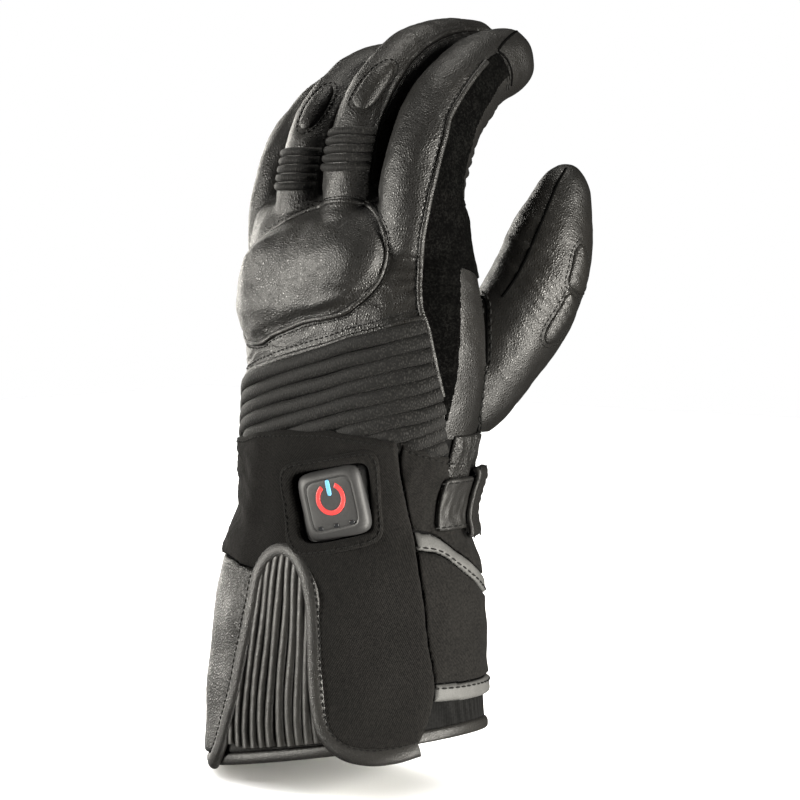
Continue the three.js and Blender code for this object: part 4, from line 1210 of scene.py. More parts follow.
def bridged(first, first_turn, second, second_turn):
    """Triangles between two edges that run round the same axis."""
    faces, i, j = [], 0, 0
    count, other = len(first), len(second)
    around = lambda turns, k: turns[k % len(turns)] + 2 * math.pi * (k // len(turns))
    while i < count or j < other:
        here, there = first[i % count], second[j % other]
        if j >= other or (i < count and around(first_turn, i + 1) < around(second_turn, j + 1)):
            faces.append((here, first[(i + 1) % count], there))
            i += 1
        else:
            faces.append((second[(j + 1) % other], there, here))
            j += 1
    return np.array(faces)


BAG_TOP = 192
bag_levels = np.append(hand_levels[:-7], 195)
bag_forms = [[on_body(around_ring, z, -WALL + dome_lift(z, BAG_TOP)) for z in bag_levels]]
for tube in FINGERS + [thumb]:
    tip = tube.length - WALL - 9 * (1 - np.linspace(0.2, 0.98, 5))
    reach = np.append(np.arange(3.0, tube.length - TIP_LENGTH, 3), tip)
    bag_forms.append([tube.point(around_ring, t, -WALL - 0.4 + root_sink(tube, t)) for t in reach])
bag_points, bag_faces = fused("inner_bag", bag_forms, 2.6)
outer_wall, outer_faces, outer_edge, outer_turn = opened(skin_points, skin_faces, seam_away)
bag_wall, bag_faces, bag_edge, bag_turn = opened(bag_points, bag_faces, np.full(len(bag_points), NO_SEAM))
rim_faces = bridged(outer_edge, outer_turn, bag_edge + len(outer_wall), bag_turn)
walls = np.vstack([outer_wall, bag_wall])
if normals_of(walls[:, :3], rim_faces)[outer_edge, 2].sum() > 0:
    rim_faces = rim_faces[:, ::-1]
hand_faces = np.vstack([outer_faces, bag_faces[:, ::-1] + len(outer_wall), rim_faces])
hand = mesh_from("leather_hand", walls[:, :3], hand_faces, GLOVE_LEATHER, numbers={"seam_away": walls[:, 3]})
settle(
    hand, "leather", "hand_shell", "finger_index", "finger_middle", "finger_ring", "finger_little",
    "thumb", "thumb_folds",
)

# %% [markdown]
# The knuckle guard is a moulded cup under leather, with a dome over two knuckles and a soft
# valley between them. It is a panel dropped onto the skin. Its height grows from its edge, and
# two bumps are added where the photograph's highlights lie. A piping runs round its edge, with a
# row of stitches outside it.

# %% Make the knuckle guard
GUARD_PIXELS = [
    (253, 247), (266, 230), (282, 216), (300, 207), (322, 201), (345, 200), (363, 204), (377, 215),
    (386, 234), (387, 256), (382, 275), (372, 290), (358, 303), (343, 314), (325, 319), (307, 322),
    (288, 329), (270, 337),
]
GUARD_HIDDEN = [(-30, 148.5), (-44, 147.5), (-58, 149), (-70, 155), (-73, 165), (-68, 174), (-58, 180)]
GUARD_SECTION_Z = hand_at(0.78)


def guard_surface(around, z, lift):
    placed = on_body(around, np.minimum(z, GUARD_SECTION_Z), lift)
    placed[..., 2] = z
    return placed


guard_places = traced(guard_surface, GUARD_PIXELS, (-60, 80), (140, 205), 1.0)
guard_outline = rounded_line(np.vstack([guard_places, GUARD_HIDDEN]) * FLAT, 1.5, closed=True) / FLAT
guard_ground = laid_on_skin(guard_surface)
print("guard corners:", guard_places[0].round(1), guard_places[-1].round(1))


def guard_height(around, z, depth):
    reach = np.clip(depth / 17, 0, 1)
    dome = 3.4 * (1 - (1 - reach) ** 2.2)
    bumps = 3.0 * hump((around - 15) / 16, 1) * hump(z - 181, 12.5)
    bumps = bumps + 3.0 * hump((around + 33) / 16, 1) * hump(z - 182, 12.5)
    bumps = bumps - 0.9 * hump((around + 8 - 0.3 * (z - 180)) / 6, 1) * hump(z - 186, 14)
    shelf = 0.5 * hump(z - 163 - 0.06 * around, 3.0)
    unevenness = 0.12 * soft_noise(flattened(around, z), 16, 12) * reach
    return (dome + bumps + shelf) * np.clip(depth / 5, 0, 1) ** 0.7 + unevenness


guard = panel(
    "knuckle_guard_cover", PAD_LEATHER, guard_ground, guard_outline, 0.9, -0.5, 0.9, 1.2, guard_height,
)
settle(guard, "leather", "knuckle_guard")


# %% Piping and stitches round the guard
def rim_line(outline, inset, spacing=1.2):
    """An outline moved inwards by inset mm."""
    line = even(np.asarray(outline) * FLAT, 400)
    way = unit(np.gradient(line, axis=0))
    middle = np.mean(np.asarray(outline) * FLAT, 0)
    side = np.stack([-way[:, 1], way[:, 0]], -1)
    if ((middle - line) * side).sum() < 0:
        side = -side
    line = line + side * inset
    length = np.linalg.norm(np.diff(line, axis=0), axis=1).sum()
    return even(line, max(int(length / spacing), 4)) / FLAT


piping_line = line_on(guard_ground, rim_line(guard_outline, 0.4), 0.35)
stitch_line = line_on(guard_ground, rim_line(guard_outline, -1.2), 0.15)
sweep("guard_piping", [piping_line], 1.9, 1.5, 10, PAD_LEATHER, "leather")
stitch("guard_stitches", [stitch_line], 2.2, 1.7, 0.5, "leather")

# %% [markdown]
# The ribs over the wrist are stretch knit gathered over elastic. Each rib follows the slanted
# top seam, one pitch lower than the last, until it runs under the cuff's seam or the suede.
# The sweep tree draws them all at once over a dark backing.

# %% Wrist ribs
RIB_PITCH = 5.15
RIB_LOW_PIXELS = [(246, 438), (260, 433), (285, 432), (325, 432), (355, 437), (400, 445), (445, 459)]
RIB_RIGHT_PIXELS = [(424, 320), (430, 346), (436, 373), (441, 396), (445, 420), (446, 452)]
rib_low_places = traced(on_body, RIB_LOW_PIXELS, (-60, 100), (95, 150), 2.0)
first_z, last_z = rib_low_places[[0, -1], 1]
rib_low_places = np.vstack([(-92, first_z - 2), rib_low_places, (92, last_z - 1)])
rib_right_places = traced(on_body, RIB_RIGHT_PIXELS, (-60, 110), (95, 165), 1.5)


def rib_low(around):
    return np.interp(around, rib_low_places[:, 0], rib_low_places[:, 1])


def rib_right(z):
    order = rib_right_places[:, 1].argsort()
    return np.interp(z, rib_right_places[order, 1], rib_right_places[order, 0])


rib_around = np.arange(-89, 84, 1.5)
rib_lines = []
for number in range(12):
    z = rib_top(rib_around) - RIB_PITCH * (number + 0.5)
    z = z + 0.25 * np.sin(rib_around * 0.11 + 1.7 * number)
    keep = (z > rib_low(rib_around) - 2.8) & (rib_around < rib_right(z) + 0.6)
    runs = np.split(np.where(keep)[0], np.where(np.diff(np.where(keep)[0]) > 1)[0] + 1)
    for run in runs:
        if len(run) > 5:
            places = np.stack([rib_around[run], z[run]], -1)
            taper = np.clip(np.minimum(np.arange(len(run)), np.arange(len(run))[::-1]) / 2.5, 0.45, 1)
            clear = np.clip((places[:, 1] - rib_low(places[:, 0]) + 2.4) / 4.4, 0, 1)
            swell = taper * (0.35 + 0.65 * clear) * (1 + 0.05 * np.sin(places[:, 0] * 0.3 + number))
            rib_lines.append(line_on(on_body, places, PANEL_GAP + 0.5 - 2.0 * (1 - clear), swell))
sweep("stretch_ribs", rib_lines, 5.3, 3.3, 18, STRETCH, "stretch", "wrist_ribs")
backing_top = [(a, rib_top(a) - 0.2) for a in np.arange(-90, 60, 6)]
backing_right = [(rib_right(z) + 0.8, z) for z in np.arange(rib_top(58), 108, -5)]
backing_low = [(a, rib_low(a) - 3.5) for a in np.arange(78, -91, -6)]
backing_outline = np.array(backing_top + backing_right + backing_low)
backing = panel("rib_backing", STRETCH, on_body, backing_outline, 0.6, PANEL_GAP - 0.4, 2.0, 0.8)
settle(backing, "stretch")

# %% [markdown]
# Above the ribs the leather is turned over a cord and top-stitched, and the cut edge catches
# the light. The same two trees make that edge, the seam above it and every other seam line of
# the hand. Their routes are pixel lines, dropped onto the skin.

# %% Seams of the hand
top_edge = np.stack([rib_around, rib_top(rib_around) + 0.4], -1)
top_edge = top_edge[top_edge[:, 0] < rib_right(rib_top(60)) + 1.5]
lay_body = laid_on_skin(on_body)
sweep("leather_edge", [line_on(lay_body, top_edge, 0.5)], 2.4, 2.0, 10, PAD_LEATHER, "leather")
THUMB_SEAM_PIXELS = [
    (481, 296), (486, 302), (487, 325), (487, 350), (485, 375), (482, 400), (479, 420), (475, 440),
]
THUMB_SIDE_PIXELS = [
    (566, 168), (557, 184), (550, 201), (542, 221), (533, 242), (525, 260), (516, 277), (508, 289),
    (502, 297),
]
SUEDE_SEAM = [(x - 2.5, y) for x, y in SUEDE_LEFT_PIXELS[1:14]]
TIP_SEAM_PIXELS = [(521, 29), (514, 33), (505, 41), (498, 50)]
CAP_SEAM_PIXELS = [(498, 51), (505, 57), (510, 66), (512, 76), (511, 86)]
thick_rows = [
    skin_line(THUMB_SEAM_PIXELS, 0.2, shift=-1.5),
    skin_line(THUMB_SEAM_PIXELS, 0.2, shift=1.5),
    skin_line(CAP_SEAM_PIXELS, 0.2, shift=1.3),
    skin_line(CAP_SEAM_PIXELS, 0.2, shift=2.8),
]
fine_rows = [skin_line(SUEDE_SEAM, 0.12), line_on(lay_body, top_edge + (0, 3.1), 0.12)]
shadow_rows = [
    skin_line(THUMB_SEAM_PIXELS, 0.02),
    skin_line(THUMB_SIDE_PIXELS, 0.02),
    skin_line(TIP_SEAM_PIXELS, 0.02),
    skin_line(CAP_SEAM_PIXELS, 0.05),
]
stitch("seam_stitches", thick_rows, 3.1, 2.5, 0.8, "leather")
stitch("fine_stitches", fine_rows, 2.4, 1.8, 0.5, "leather")
edge_line = skin_line(SUEDE_LEFT_PIXELS[1:18], 0.3, shift=-0.6)
sweep("turned_edge", [edge_line], 2.2, 1.6, 10, PAD_LEATHER, "leather")
# These near-black cords along the seams are painted seam shadows.
sweep("seam_grooves", shadow_rows, 1.1, 0.6, 6, SEAM_SHADOW_PAINT, "leather")

# %% [markdown]
# The middle and ring fingers have five flex ribs and a long stitched pad each, and the thumb
# has two pads over its joints. The pads' outlines are read off the photograph, so they lean
# the way the sewn ones do. A pad is a panel with a soft crown and a row of stitches round it.

# %% Flex ribs on two fingers
flex_lines = []
for tube, reach, first, last in ((middle, 50, 0.2, 0.315), (ring, 47, 0.2, 0.32)):
    lay = laid_on_skin(tube.point)
    for number in range(5):
        along = tube.length * (first + (last - first) * (number + 0.5) / 5)
        around = np.linspace(-reach, reach, 30)
        along = along + 0.9 * (around / reach) ** 2 - 0.6
        ends = (1 - 0.55 * np.abs(around / reach) ** 4) * (1 + 0.06 * np.sin(around * 0.21 + 2 * number))
        flex_lines.append(line_on(lay, np.stack([around, along], -1), 0.35, ends))
sweep("flex_ribs", flex_lines, 2.9, 2.3, 14, STRETCH, "stretch", "finger_ribs_middle", "finger_ribs_ring")

# %% Stitched pads
PADS = {
    "finger_pad_middle": (middle, [
        (351, 101), (357, 89), (366, 77), (378, 66), (388, 61), (395, 66), (391, 79), (382, 92),
        (371, 105), (360, 109),
    ]),
    "finger_pad_ring": (ring, [
        (298, 123), (303, 110), (311, 97), (322, 86), (331, 83), (334, 90), (329, 103), (321, 115),
        (310, 127), (301, 129),
    ]),
    "thumb_pad_upper": (thumb, [
        (582, 243), (575, 252), (571, 268), (568, 283), (573, 290), (581, 296), (586, 291), (588, 275),
        (588, 256),
    ]),
    "thumb_pad_lower": (thumb, [
        (570, 293), (560, 308), (550, 324), (545, 337), (548, 345), (557, 344), (568, 329), (578, 312),
        (579, 301),
    ]),
}
PAD_DEGREE = 0.25
pad_rows = []
for label, (tube, pixels) in PADS.items():
    span = (-80, 80) if tube is not thumb else (-60, 60)
    places = traced(tube.point, pixels, span, (20, tube.length - 14), 0.6)
    if tube is thumb:
        places[:, 0] = np.clip(places[:, 0], -60, 14)
    outline = rounded_line(places * (PAD_DEGREE, 1), 0.8, closed=True) / (PAD_DEGREE, 1)
    lay = laid_on_skin(tube.point)
    crown = lambda around, along, depth: 1.2 * (1 - (1 - np.clip(depth / 4.5, 0, 1)) ** 2)
    pad = panel(label + "_cover", PAD_LEATHER, lay, outline, 0.9, -0.5, 0.5, 1.0, crown, PAD_DEGREE)
    settle(pad, "leather", label)
    pad_middle = outline.mean(0)
    from_middle = outline - pad_middle
    reach = np.abs(from_middle * (PAD_DEGREE, 1)).max(0)
    wider = pad_middle + from_middle * (1 + 1.1 / reach)
    pad_rows.append(line_on(lay, np.vstack([wider, wider[:1]]), 0.12))
stitch("pad_stitches", pad_rows, 2.0, 1.5, 0.5, "leather")

# %% [markdown]
# The cuff is built of panels on the same body. Its lines are read off the photograph: the arch
# of the gusset with its leather binding, the flap's free edge, and the top of the side leather.
# Where the glove hides them, they go on as the solids do, round to the palm.

# %% Lines of the cuff
HEM_RISE = 11.5


def hem(around):
    return 0.0375 * CUFF_LENGTH + HEM_RISE * squared(np.sin(np.radians(around)))


ARCH_PIXELS = [
    (214, 762), (220, 748), (228, 720), (236, 690), (242, 660), (248, 630), (254, 600), (259, 575),
    (267, 560), (278, 552), (290, 552), (299, 560), (308, 578), (313, 601), (315, 627), (316, 660),
    (317, 687), (320, 713), (326, 733), (342, 750), (367, 757), (394, 755), (418, 748),
]
FLAP_RIGHT_PIXELS = [
    (398, 448), (401, 476), (407, 506), (413, 531), (419, 569), (424, 602), (428, 641), (433, 669),
    (435, 686), (432, 711), (426, 730), (419, 745),
]
SIDE_TOP_PIXELS = [(233, 558), (240, 564), (255, 569)]
arch = rounded_line(traced(on_body, ARCH_PIXELS, (-60, 100), (-8, 90), 1.8), 0.8)
flap_right = rounded_line(traced(on_body, FLAP_RIGHT_PIXELS, (-10, 110), (-8, 130), 2.5), 2)
side_top = traced(on_body, SIDE_TOP_PIXELS, (-80, 0), (30, 90), 2.0)
apex = arch[:, 1].argmax()
gusset_left, gusset_right = arch[:apex], arch[apex:][arch[apex:, 0] < arch[apex, 0] + 27]


def arch_left(z):
    return np.interp(z, gusset_left[:, 1], gusset_left[:, 0])


def arch_right(z):
    order = gusset_right[:, 1].argsort()
    return np.interp(z, gusset_right[order, 1], gusset_right[order, 0])


def flap_edge(z):
    order = flap_right[:, 1].argsort()
    return np.interp(z, flap_right[order, 1], flap_right[order, 0])


CUFF_FLAT = (0.95, 1)


def shifted(places, left):
    """A line of places moved to its left by some mm."""
    line = np.asarray(places) * CUFF_FLAT
    way = unit(eased(np.gradient(line, axis=0), 4))
    return (line + np.stack([-way[:, 1], way[:, 0]], -1) * left) / CUFF_FLAT


print("arch top:", arch[apex].round(1), "flap edge at mid cuff:", round(float(flap_edge(56.0)), 1))

# %% [markdown]
# The heat button sits in a frame of its own: a flat plane on the back of the cuff, turned a
# little. Its outline is a square with round corners. The softshell swells round it, as cloth
# does over a ring of foam.

# %% The button's plane
BUTTON_AT = (18.0, cuff_at(0.835))
BUTTON_WIDE, BUTTON_TALL = 26.0, 25.0
BUTTON_TURN = math.radians(14.0)
button_middle = on_body(*BUTTON_AT)
button_out = (on_body(*BUTTON_AT, 1.0) - button_middle) * (1, 1, 0)
button_out /= np.linalg.norm(button_out)
button_side = (on_body(BUTTON_AT[0] + 2, BUTTON_AT[1]) - button_middle) / 2
BUTTON_DEGREE = np.linalg.norm(button_side)
button_side /= BUTTON_DEGREE
button_up = np.cross(button_out, button_side)


def round_square(grow, count=96, power=6.0):
    angle = np.linspace(0, 2 * math.pi, count, endpoint=False)
    x = (BUTTON_WIDE / 2 + grow) * squared(np.cos(angle), power)
    y = (BUTTON_TALL / 2 + grow) * squared(np.sin(angle), power)
    return turned_flat(x, y)


def turned_flat(x, y):
    c, s = math.cos(BUTTON_TURN), math.sin(BUTTON_TURN)
    return np.stack([x * c - y * s, x * s + y * c], -1)


def cuff_places(flat):
    return np.stack([BUTTON_AT[0] + flat[:, 0] / BUTTON_DEGREE, BUTTON_AT[1] + flat[:, 1]], -1)


def button_plane(x, y, rise):
    x, y, rise = (part[..., None] for part in np.broadcast_arrays(x, y, rise))
    return button_middle + button_out * rise + button_side * x + button_up * y


def swell_round_button(around, z):
    square = cuff_places(round_square(5.0, 48)) * FLAT
    away = np.maximum(-inside_of(flattened(around, z), square), 0)
    return 0.7 * hump(away, 8.0)


print("mm in a degree at the button:", round(float(BUTTON_DEGREE), 2))

# %% [markdown]
# The back of the cuff and the closure flap are one softshell panel with a hole for the button.
# It is raised along its free edge, where it lies over the closure tab, and it wrinkles at the
# outer side, where the wrist bends.

# %% Softshell back and flap
top_seam = np.array([(a, rib_low(a) + 1.0) for a in np.arange(-89, flap_right[0, 0] - 1, 3.0)])
arch_outside = arch[::-1][arch[::-1, 1] > np.where(arch[::-1, 0] < arch[apex, 0], side_top[-1, 1], -99)]
side_top_line = np.vstack([side_top[::-1], [(-89, side_top[0, 1] + 0.5)]])
flap_outline = np.vstack([top_seam, flap_right, arch_outside, side_top_line])
button_hole = cuff_places(round_square(0.5))


def flap_detail(around, z, depth):
    place = np.stack([around * 0.9, z], -1)
    free_edge = hump((around - flap_edge(z)) / 9, 1.0) * 0.8
    slack = np.clip((-18 - around) / 40, 0, 1)
    folds = slack * 0.55 * wave(z + 0.25 * around + 2.0 * soft_noise(place, 26, 31), 9.5)
    pebbles = slack * 0.14 * soft_noise(place, 3.2, 32)
    arch_tension = 0.3 * hump((z - 62) / 9, 1.0) * hump((around - 10) / 16, 1.0) * np.sin(place @ (0.9, 0.5))
    height = 0.3 + swell_round_button(around, z) + free_edge + folds + pebbles + arch_tension
    return height + 0.22 * soft_noise(place, 24, 33)


def panel_with_holes(name, finish, surface, outline, height, base, cell, edge, detail, holes):
    """A panel whose depth also counts from the edge of each hole."""
    def with_holes(points, closed):
        depth = inside_of(points, closed)
        for hole in holes:
            depth = np.minimum(depth, -inside_of(points, np.asarray(hole) * FLAT))
        return depth

    return panel(name, finish, surface, outline, height, base, cell, edge, detail, inside=with_holes)


FLAP_BASE, FLAP_THICK = PANEL_GAP + 0.05, 1.8


def flap_top(places, above=0.1):
    """The lift of the flap's upper face at some places, and a little more."""
    around, z = np.asarray(places, float).T
    return FLAP_BASE + FLAP_THICK + flap_detail(around, z, None) + above


softshell_back = panel_with_holes(
    "softshell_back", SOFTSHELL, on_body, flap_outline, FLAP_THICK, FLAP_BASE, 1.0, 1.5,
    flap_detail, [button_hole],
)
settle(softshell_back, "softshell", "cuff_flap")

# %% The raised ring round the button
def welt_detail(around, z, depth):
    return 0.1 * soft_noise(np.stack([around, z], -1), 5, 41)


welt = panel_with_holes(
    "button_ring", SOFTSHELL, on_body, cuff_places(round_square(4.6)), 1.25, 3.3, 0.5, 2.0,
    welt_detail, [button_hole],
)
settle(welt, "softshell", "controller_welt")

# %% [markdown]
# The button is moulded rubber: straight walls, a broad soft bevel and a thin groove round its
# face. It is a loft of rounded squares. The symbol is a plain power sign in red and blue with
# three small windows for lamps below it, each a little panel on the button's plane.

# %% Heat button
BUTTON_LEVELS = [
    (0.0, 2.2), (0.1, 3.2), (-0.05, 4.1), (-0.45, 4.9), (-1.1, 5.6), (-1.8, 6.1), (-2.5, 6.4), (-3.0, 6.5),
    (-3.3, 6.45), (-3.5, 6.2), (-3.75, 6.15), (-4.0, 6.3), (-4.5, 6.4), (-8.0, 6.42), (-11.0, 6.42),
]
foot = cuff_places(round_square(0.0))
button_rings = [on_body(foot[:, 0], foot[:, 1], PANEL_GAP + 0.1), on_body(foot[:, 0], foot[:, 1], 1.5)]
for grow, rise in BUTTON_LEVELS:
    flat = round_square(grow)
    button_rings.append(button_plane(flat[:, 0], flat[:, 1], rise))
button_points, button_faces = rings_to_mesh(button_rings)
button = mesh_from("heat_button", button_points, button_faces, RUBBER)
settle(button, "rubber", "controller_housing")

SYMBOL_RADIUS, SYMBOL_LINE, SYMBOL_UP = 6.0, 1.8, 2.0


def arc(radius, first, last, count=60):
    angle = np.radians(np.linspace(first, last, count))
    return np.stack([radius * np.cos(angle), SYMBOL_UP + radius * np.sin(angle)], -1)


def pill(x, y, half_wide, half_tall, count=40, power=4.0):
    angle = np.linspace(0, 2 * math.pi, count, endpoint=False)
    across = x + half_wide * squared(np.cos(angle), power)
    return np.stack([across, y + half_tall * squared(np.sin(angle), power)], -1)


marks = [
    ("power_ring", RED_PRINT, "symbol_red", "controller_symbol_ring",
     np.vstack([arc(SYMBOL_RADIUS, 120, 420), arc(SYMBOL_RADIUS - SYMBOL_LINE, 420, 120)])),
    ("power_bar", BLUE_PRINT, "symbol_blue", "controller_symbol_bar", pill(0, SYMBOL_UP + 3.9, 0.9, 2.9)),
]
for number in range(3):
    marks.append((
        f"lamp_window_{number + 1}", WINDOW, "window", f"controller_window_{number + 1}",
        pill((number - 1) * 0.25 * BUTTON_WIDE, -0.31 * BUTTON_TALL, 1.1, 0.75),
    ))
for label, finish, slot_name, node_name, outline in marks:
    outline = turned_flat(outline[:, 0], outline[:, 1])
    mark = panel(label, finish, button_plane, outline, 0.28, 6.36, 0.22, 0.25, per_degree=1.0)
    settle(mark, slot_name, node_name)

# %% [markdown]
# The gusset lets the cuff open over a sleeve. Its stretch cloth stands in twelve pleats, close
# together at the arch and wider at the hem. Each pleat is a swept oval whose width follows the
# distance to its neighbours, and it ends where it meets the binding.

# %% Gusset and pleats
PLEATS = 12
gusset_hem = [(a, hem(a) + 0.4) for a in np.arange(arch_right(8.0) - 1, arch_left(5.0) + 1, -2.0)]
inner_arch = np.vstack([arch[(arch[:, 1] > 8) & (arch[:, 0] < arch_right(8.0) + 0.5)], gusset_hem])
gusset_cloth = panel("gusset_cloth", STRETCH, on_body, inner_arch, 0.5, 0.25, 1.0, 0.4)
settle(gusset_cloth, "stretch")


def pleat_places(z):
    """Where the pleats stand at one height: half evenly spaced, half as the photograph shows."""
    rise = np.clip(z / arch[apex, 1], 0, 1)
    middle = (arch_left(min(z, 60.0)) + arch_right(min(z, 60.0))) / 2
    wide = (arch_right(6.0) - arch_left(6.0) - 3.0) * (1 - 0.3 * rise)
    share = (np.arange(PLEATS) + 0.5) / PLEATS
    even_places = middle + (share - 0.5) * wide
    sample = np.linspace(middle - wide / 2, middle + wide / 2, 80)
    across = picture(on_body(sample, z, 2.0))[:, 0]
    seen_places = np.interp(across[0] + share * (across[-1] - across[0]), across, sample)
    return 0.5 * even_places + 0.5 * seen_places


pleat_levels = np.arange(3.0, arch[apex, 1], 0.8)
table = np.array([pleat_places(z) for z in pleat_levels])
table = np.stack([np.polyval(np.polyfit(pleat_levels, column, 4), pleat_levels) for column in table.T], -1)
gaps = np.gradient(table, axis=1) * 1.05
pleat_lines = []
for number in range(PLEATS):
    around = table[:, number] + 0.16 * np.sin(pleat_levels * 0.16 + number * 1.9)
    flat = np.stack([around, pleat_levels], -1) * CUFF_FLAT
    inside = inside_of(flat, inner_arch * CUFF_FLAT) > 0.6
    keep = inside & (pleat_levels > hem(around) + 0.6)
    if keep.sum() < 6:
        continue
    size = gaps[keep, number] / 4.0 * (1 + 0.02 * np.sin(pleat_levels[keep] * 0.9 + number))
    ends = np.minimum(np.arange(keep.sum()) / 1.6 + 0.55, 1.0)
    swell = size * ends
    lift = 3.0 - 1.5 * size
    pleat_lines.append(line_on(on_body, np.stack([around[keep], pleat_levels[keep]], -1), lift, swell))
sweep("gusset_pleats", pleat_lines, 4.1, 3.1, 16, PLEAT_CLOTH, "stretch", "gusset")

# %% [markdown]
# One long leather binding rolls round the arch and on under the flap's lower edge. It is a
# swept oval, and small gathers crowd it where it turns at the top.

# %% Arch binding
along_arch = np.arange(len(arch)) * 0.8
from_top = along_arch - along_arch[apex]
gathers = 0.09 * wave(from_top, 2.6) * hump(from_top / 13, 1.0)
gathers = gathers + 0.02 * np.sin(from_top * 0.7) + 0.015 * np.sin(from_top * 1.9 + 1)
ends = np.minimum(1, 0.5 + np.arange(len(arch)) / 4) * np.minimum(1, 0.2 + along_arch[::-1] / 30)
sweep(
    "arch_binding", [line_on(on_body, arch, 1.9, (1 + gathers) * ends)], 6.4, 4.4, 24, TRIM_LEATHER,
    "leather", "gusset_piping", "flap_hem_piping",
)

# %% [markdown]
# The outer side of the cuff is grained leather, the palm side softshell. The closure tab comes
# out from under the flap: dark cloth between two wide grey bindings, which bulge over their
# stitches. Above it, more softshell runs up to a strip of leather along the wrist's seam.

# %% Side, palm and tab panels
TAB_END = 150.0
WRIST_SEAM = 1.036 * CUFF_LENGTH
BINDING_WIDE = 0.056 * CUFF_LENGTH
TAB_TOP_SHARES = [(60, 0.75), (78, 0.73), (95, 0.655), (115, 0.59), (150, 0.56)]
TAB_LOW_SHARES = [(60, 0.222), (150, 0.2)]
tab_top, tab_low = (
    cubic([(around, cuff_at(share)) for around, share in rows]) for rows in (TAB_TOP_SHARES, TAB_LOW_SHARES)
)


def strip_outline(low, top, last=TAB_END):
    """A strip between two height curves, from the flap's edge to the palm."""
    first_low, first_top = flap_edge(low(70.0)) + 0.8, flap_edge(top(66.0)) + 0.8
    lower = [(a, float(low(a))) for a in np.append(np.arange(first_low, last - 1, 3.0), last)]
    upper = [(a, float(top(a))) for a in np.append(np.arange(first_top, last - 1, 3.0), last)]
    rise = np.arange(float(top(66.0)) - 2, float(low(70.0)) + 1, -2.0)
    return np.array(lower + upper[::-1] + [(flap_edge(z) + 0.8, z) for z in rise])


def soft_detail(amount, size, seed):
    return lambda around, z, depth: amount * soft_noise(flattened(around, z), size, seed)


def puckered(around, z, depth):
    place = flattened(around, z)
    return 0.12 * soft_noise(place, 9, 52) + 0.1 * np.sin(around * 2.2) * hump((depth - 1.4) / 1.2, 1.0)


read = lambda table, a: float(table(a)[0])
SKIRT_LOW = 98.0
SKIRT_DROP = rib_low(90.0) + 0.5 - SKIRT_LOW


def softshell_top(a):
    """The seam under the ribs, which steps down to the wrist's leather past the strap's start."""
    return rib_low(min(a, 90.0)) + 0.8 - np.clip((a - 80) / 4, 0, 1) * SKIRT_DROP


tab_pieces = [
    ("tab_binding_upper", BINDING, "binding", "tab_binding_top", 1.7, 1.9, puckered,
     lambda a: read(tab_top, a) - BINDING_WIDE, lambda a: read(tab_top, a)),
    ("tab_cloth", SOFTSHELL, "softshell", "closure_tab", 1.3, 0.8, soft_detail(0.25, 14, 53),
     lambda a: read(tab_low, a) + BINDING_WIDE + 0.3, lambda a: read(tab_top, a) - BINDING_WIDE - 0.3),
    ("tab_binding_lower", BINDING, "binding", "tab_binding_bottom", 1.7, 1.9, puckered,
     lambda a: read(tab_low, a), lambda a: read(tab_low, a) + BINDING_WIDE),
    ("side_softshell", SOFTSHELL, "softshell", "cuff_upper_side", 1.3, 0.9, soft_detail(0.35, 13, 54),
     lambda a: read(tab_top, a) + 0.5, softshell_top),
]
for label, finish, slot_name, node_name, height, edge, detail, low, top in tab_pieces:
    made = panel(label, finish, on_body, strip_outline(low, top), height, PANEL_GAP, 0.9, edge, detail)
    settle(made, slot_name, node_name)

above_hem = gusset_left[:, 1] > hem(gusset_left[:, 0]) + 0.4
left_arch = gusset_left[above_hem & (gusset_left[:, 1] < side_top[-1, 1])]
side_hem = [(a, hem(a) + 0.4) for a in np.arange(-88, left_arch[0, 0], 2.0)]
side_outline = np.vstack([side_hem, left_arch, side_top[::-1] - (0, 0.5), [(-88, side_top[0, 1] - 0.3)]])


def side_detail(around, z, depth):
    place = flattened(around, z)
    return 0.35 * soft_noise(place, 26, 55) + 0.04 * soft_noise(place, 5, 56)


side_leather = panel(
    "side_leather", CUFF_LEATHER, on_body, side_outline, 1.4, PANEL_GAP, 0.8, 1.4, side_detail,
)
settle(side_leather, "leather", "cuff_side")
skirt_low, skirt_top = SKIRT_LOW + 0.2, WRIST_SEAM + 1.4
skirt_outline = [(84, skirt_low), (150.4, skirt_low), (150.4, skirt_top), (81, skirt_top), (81, 104)]
skirt = panel(
    "wrist_leather", CUFF_LEATHER, on_body, skirt_outline, 1.4, 0.45, 0.8, 1.4, soft_detail(0.3, 9, 58),
)
settle(skirt, "leather")
palm_around = np.arange(TAB_END + 1, 270.5, 3.0)
palm_outline = np.vstack([
    np.stack([palm_around, hem(palm_around) + 0.4], -1),
    np.stack([palm_around[::-1], np.full(len(palm_around), WRIST_SEAM + 0.6)], -1),
])
palm_softshell = panel(
    "palm_softshell", SOFTSHELL, on_body, palm_outline, 1.4, PANEL_GAP, 1.2, 1.2, soft_detail(0.35, 18, 57),
)
settle(palm_softshell, "softshell", "cuff_palm")

# %% [markdown]
# Lining and hem go all the way round, so each is a hoop: a closed profile carried round the
# body. The hem's profile is a soft roll. The lining is a wrinkled cloth that follows the wall.

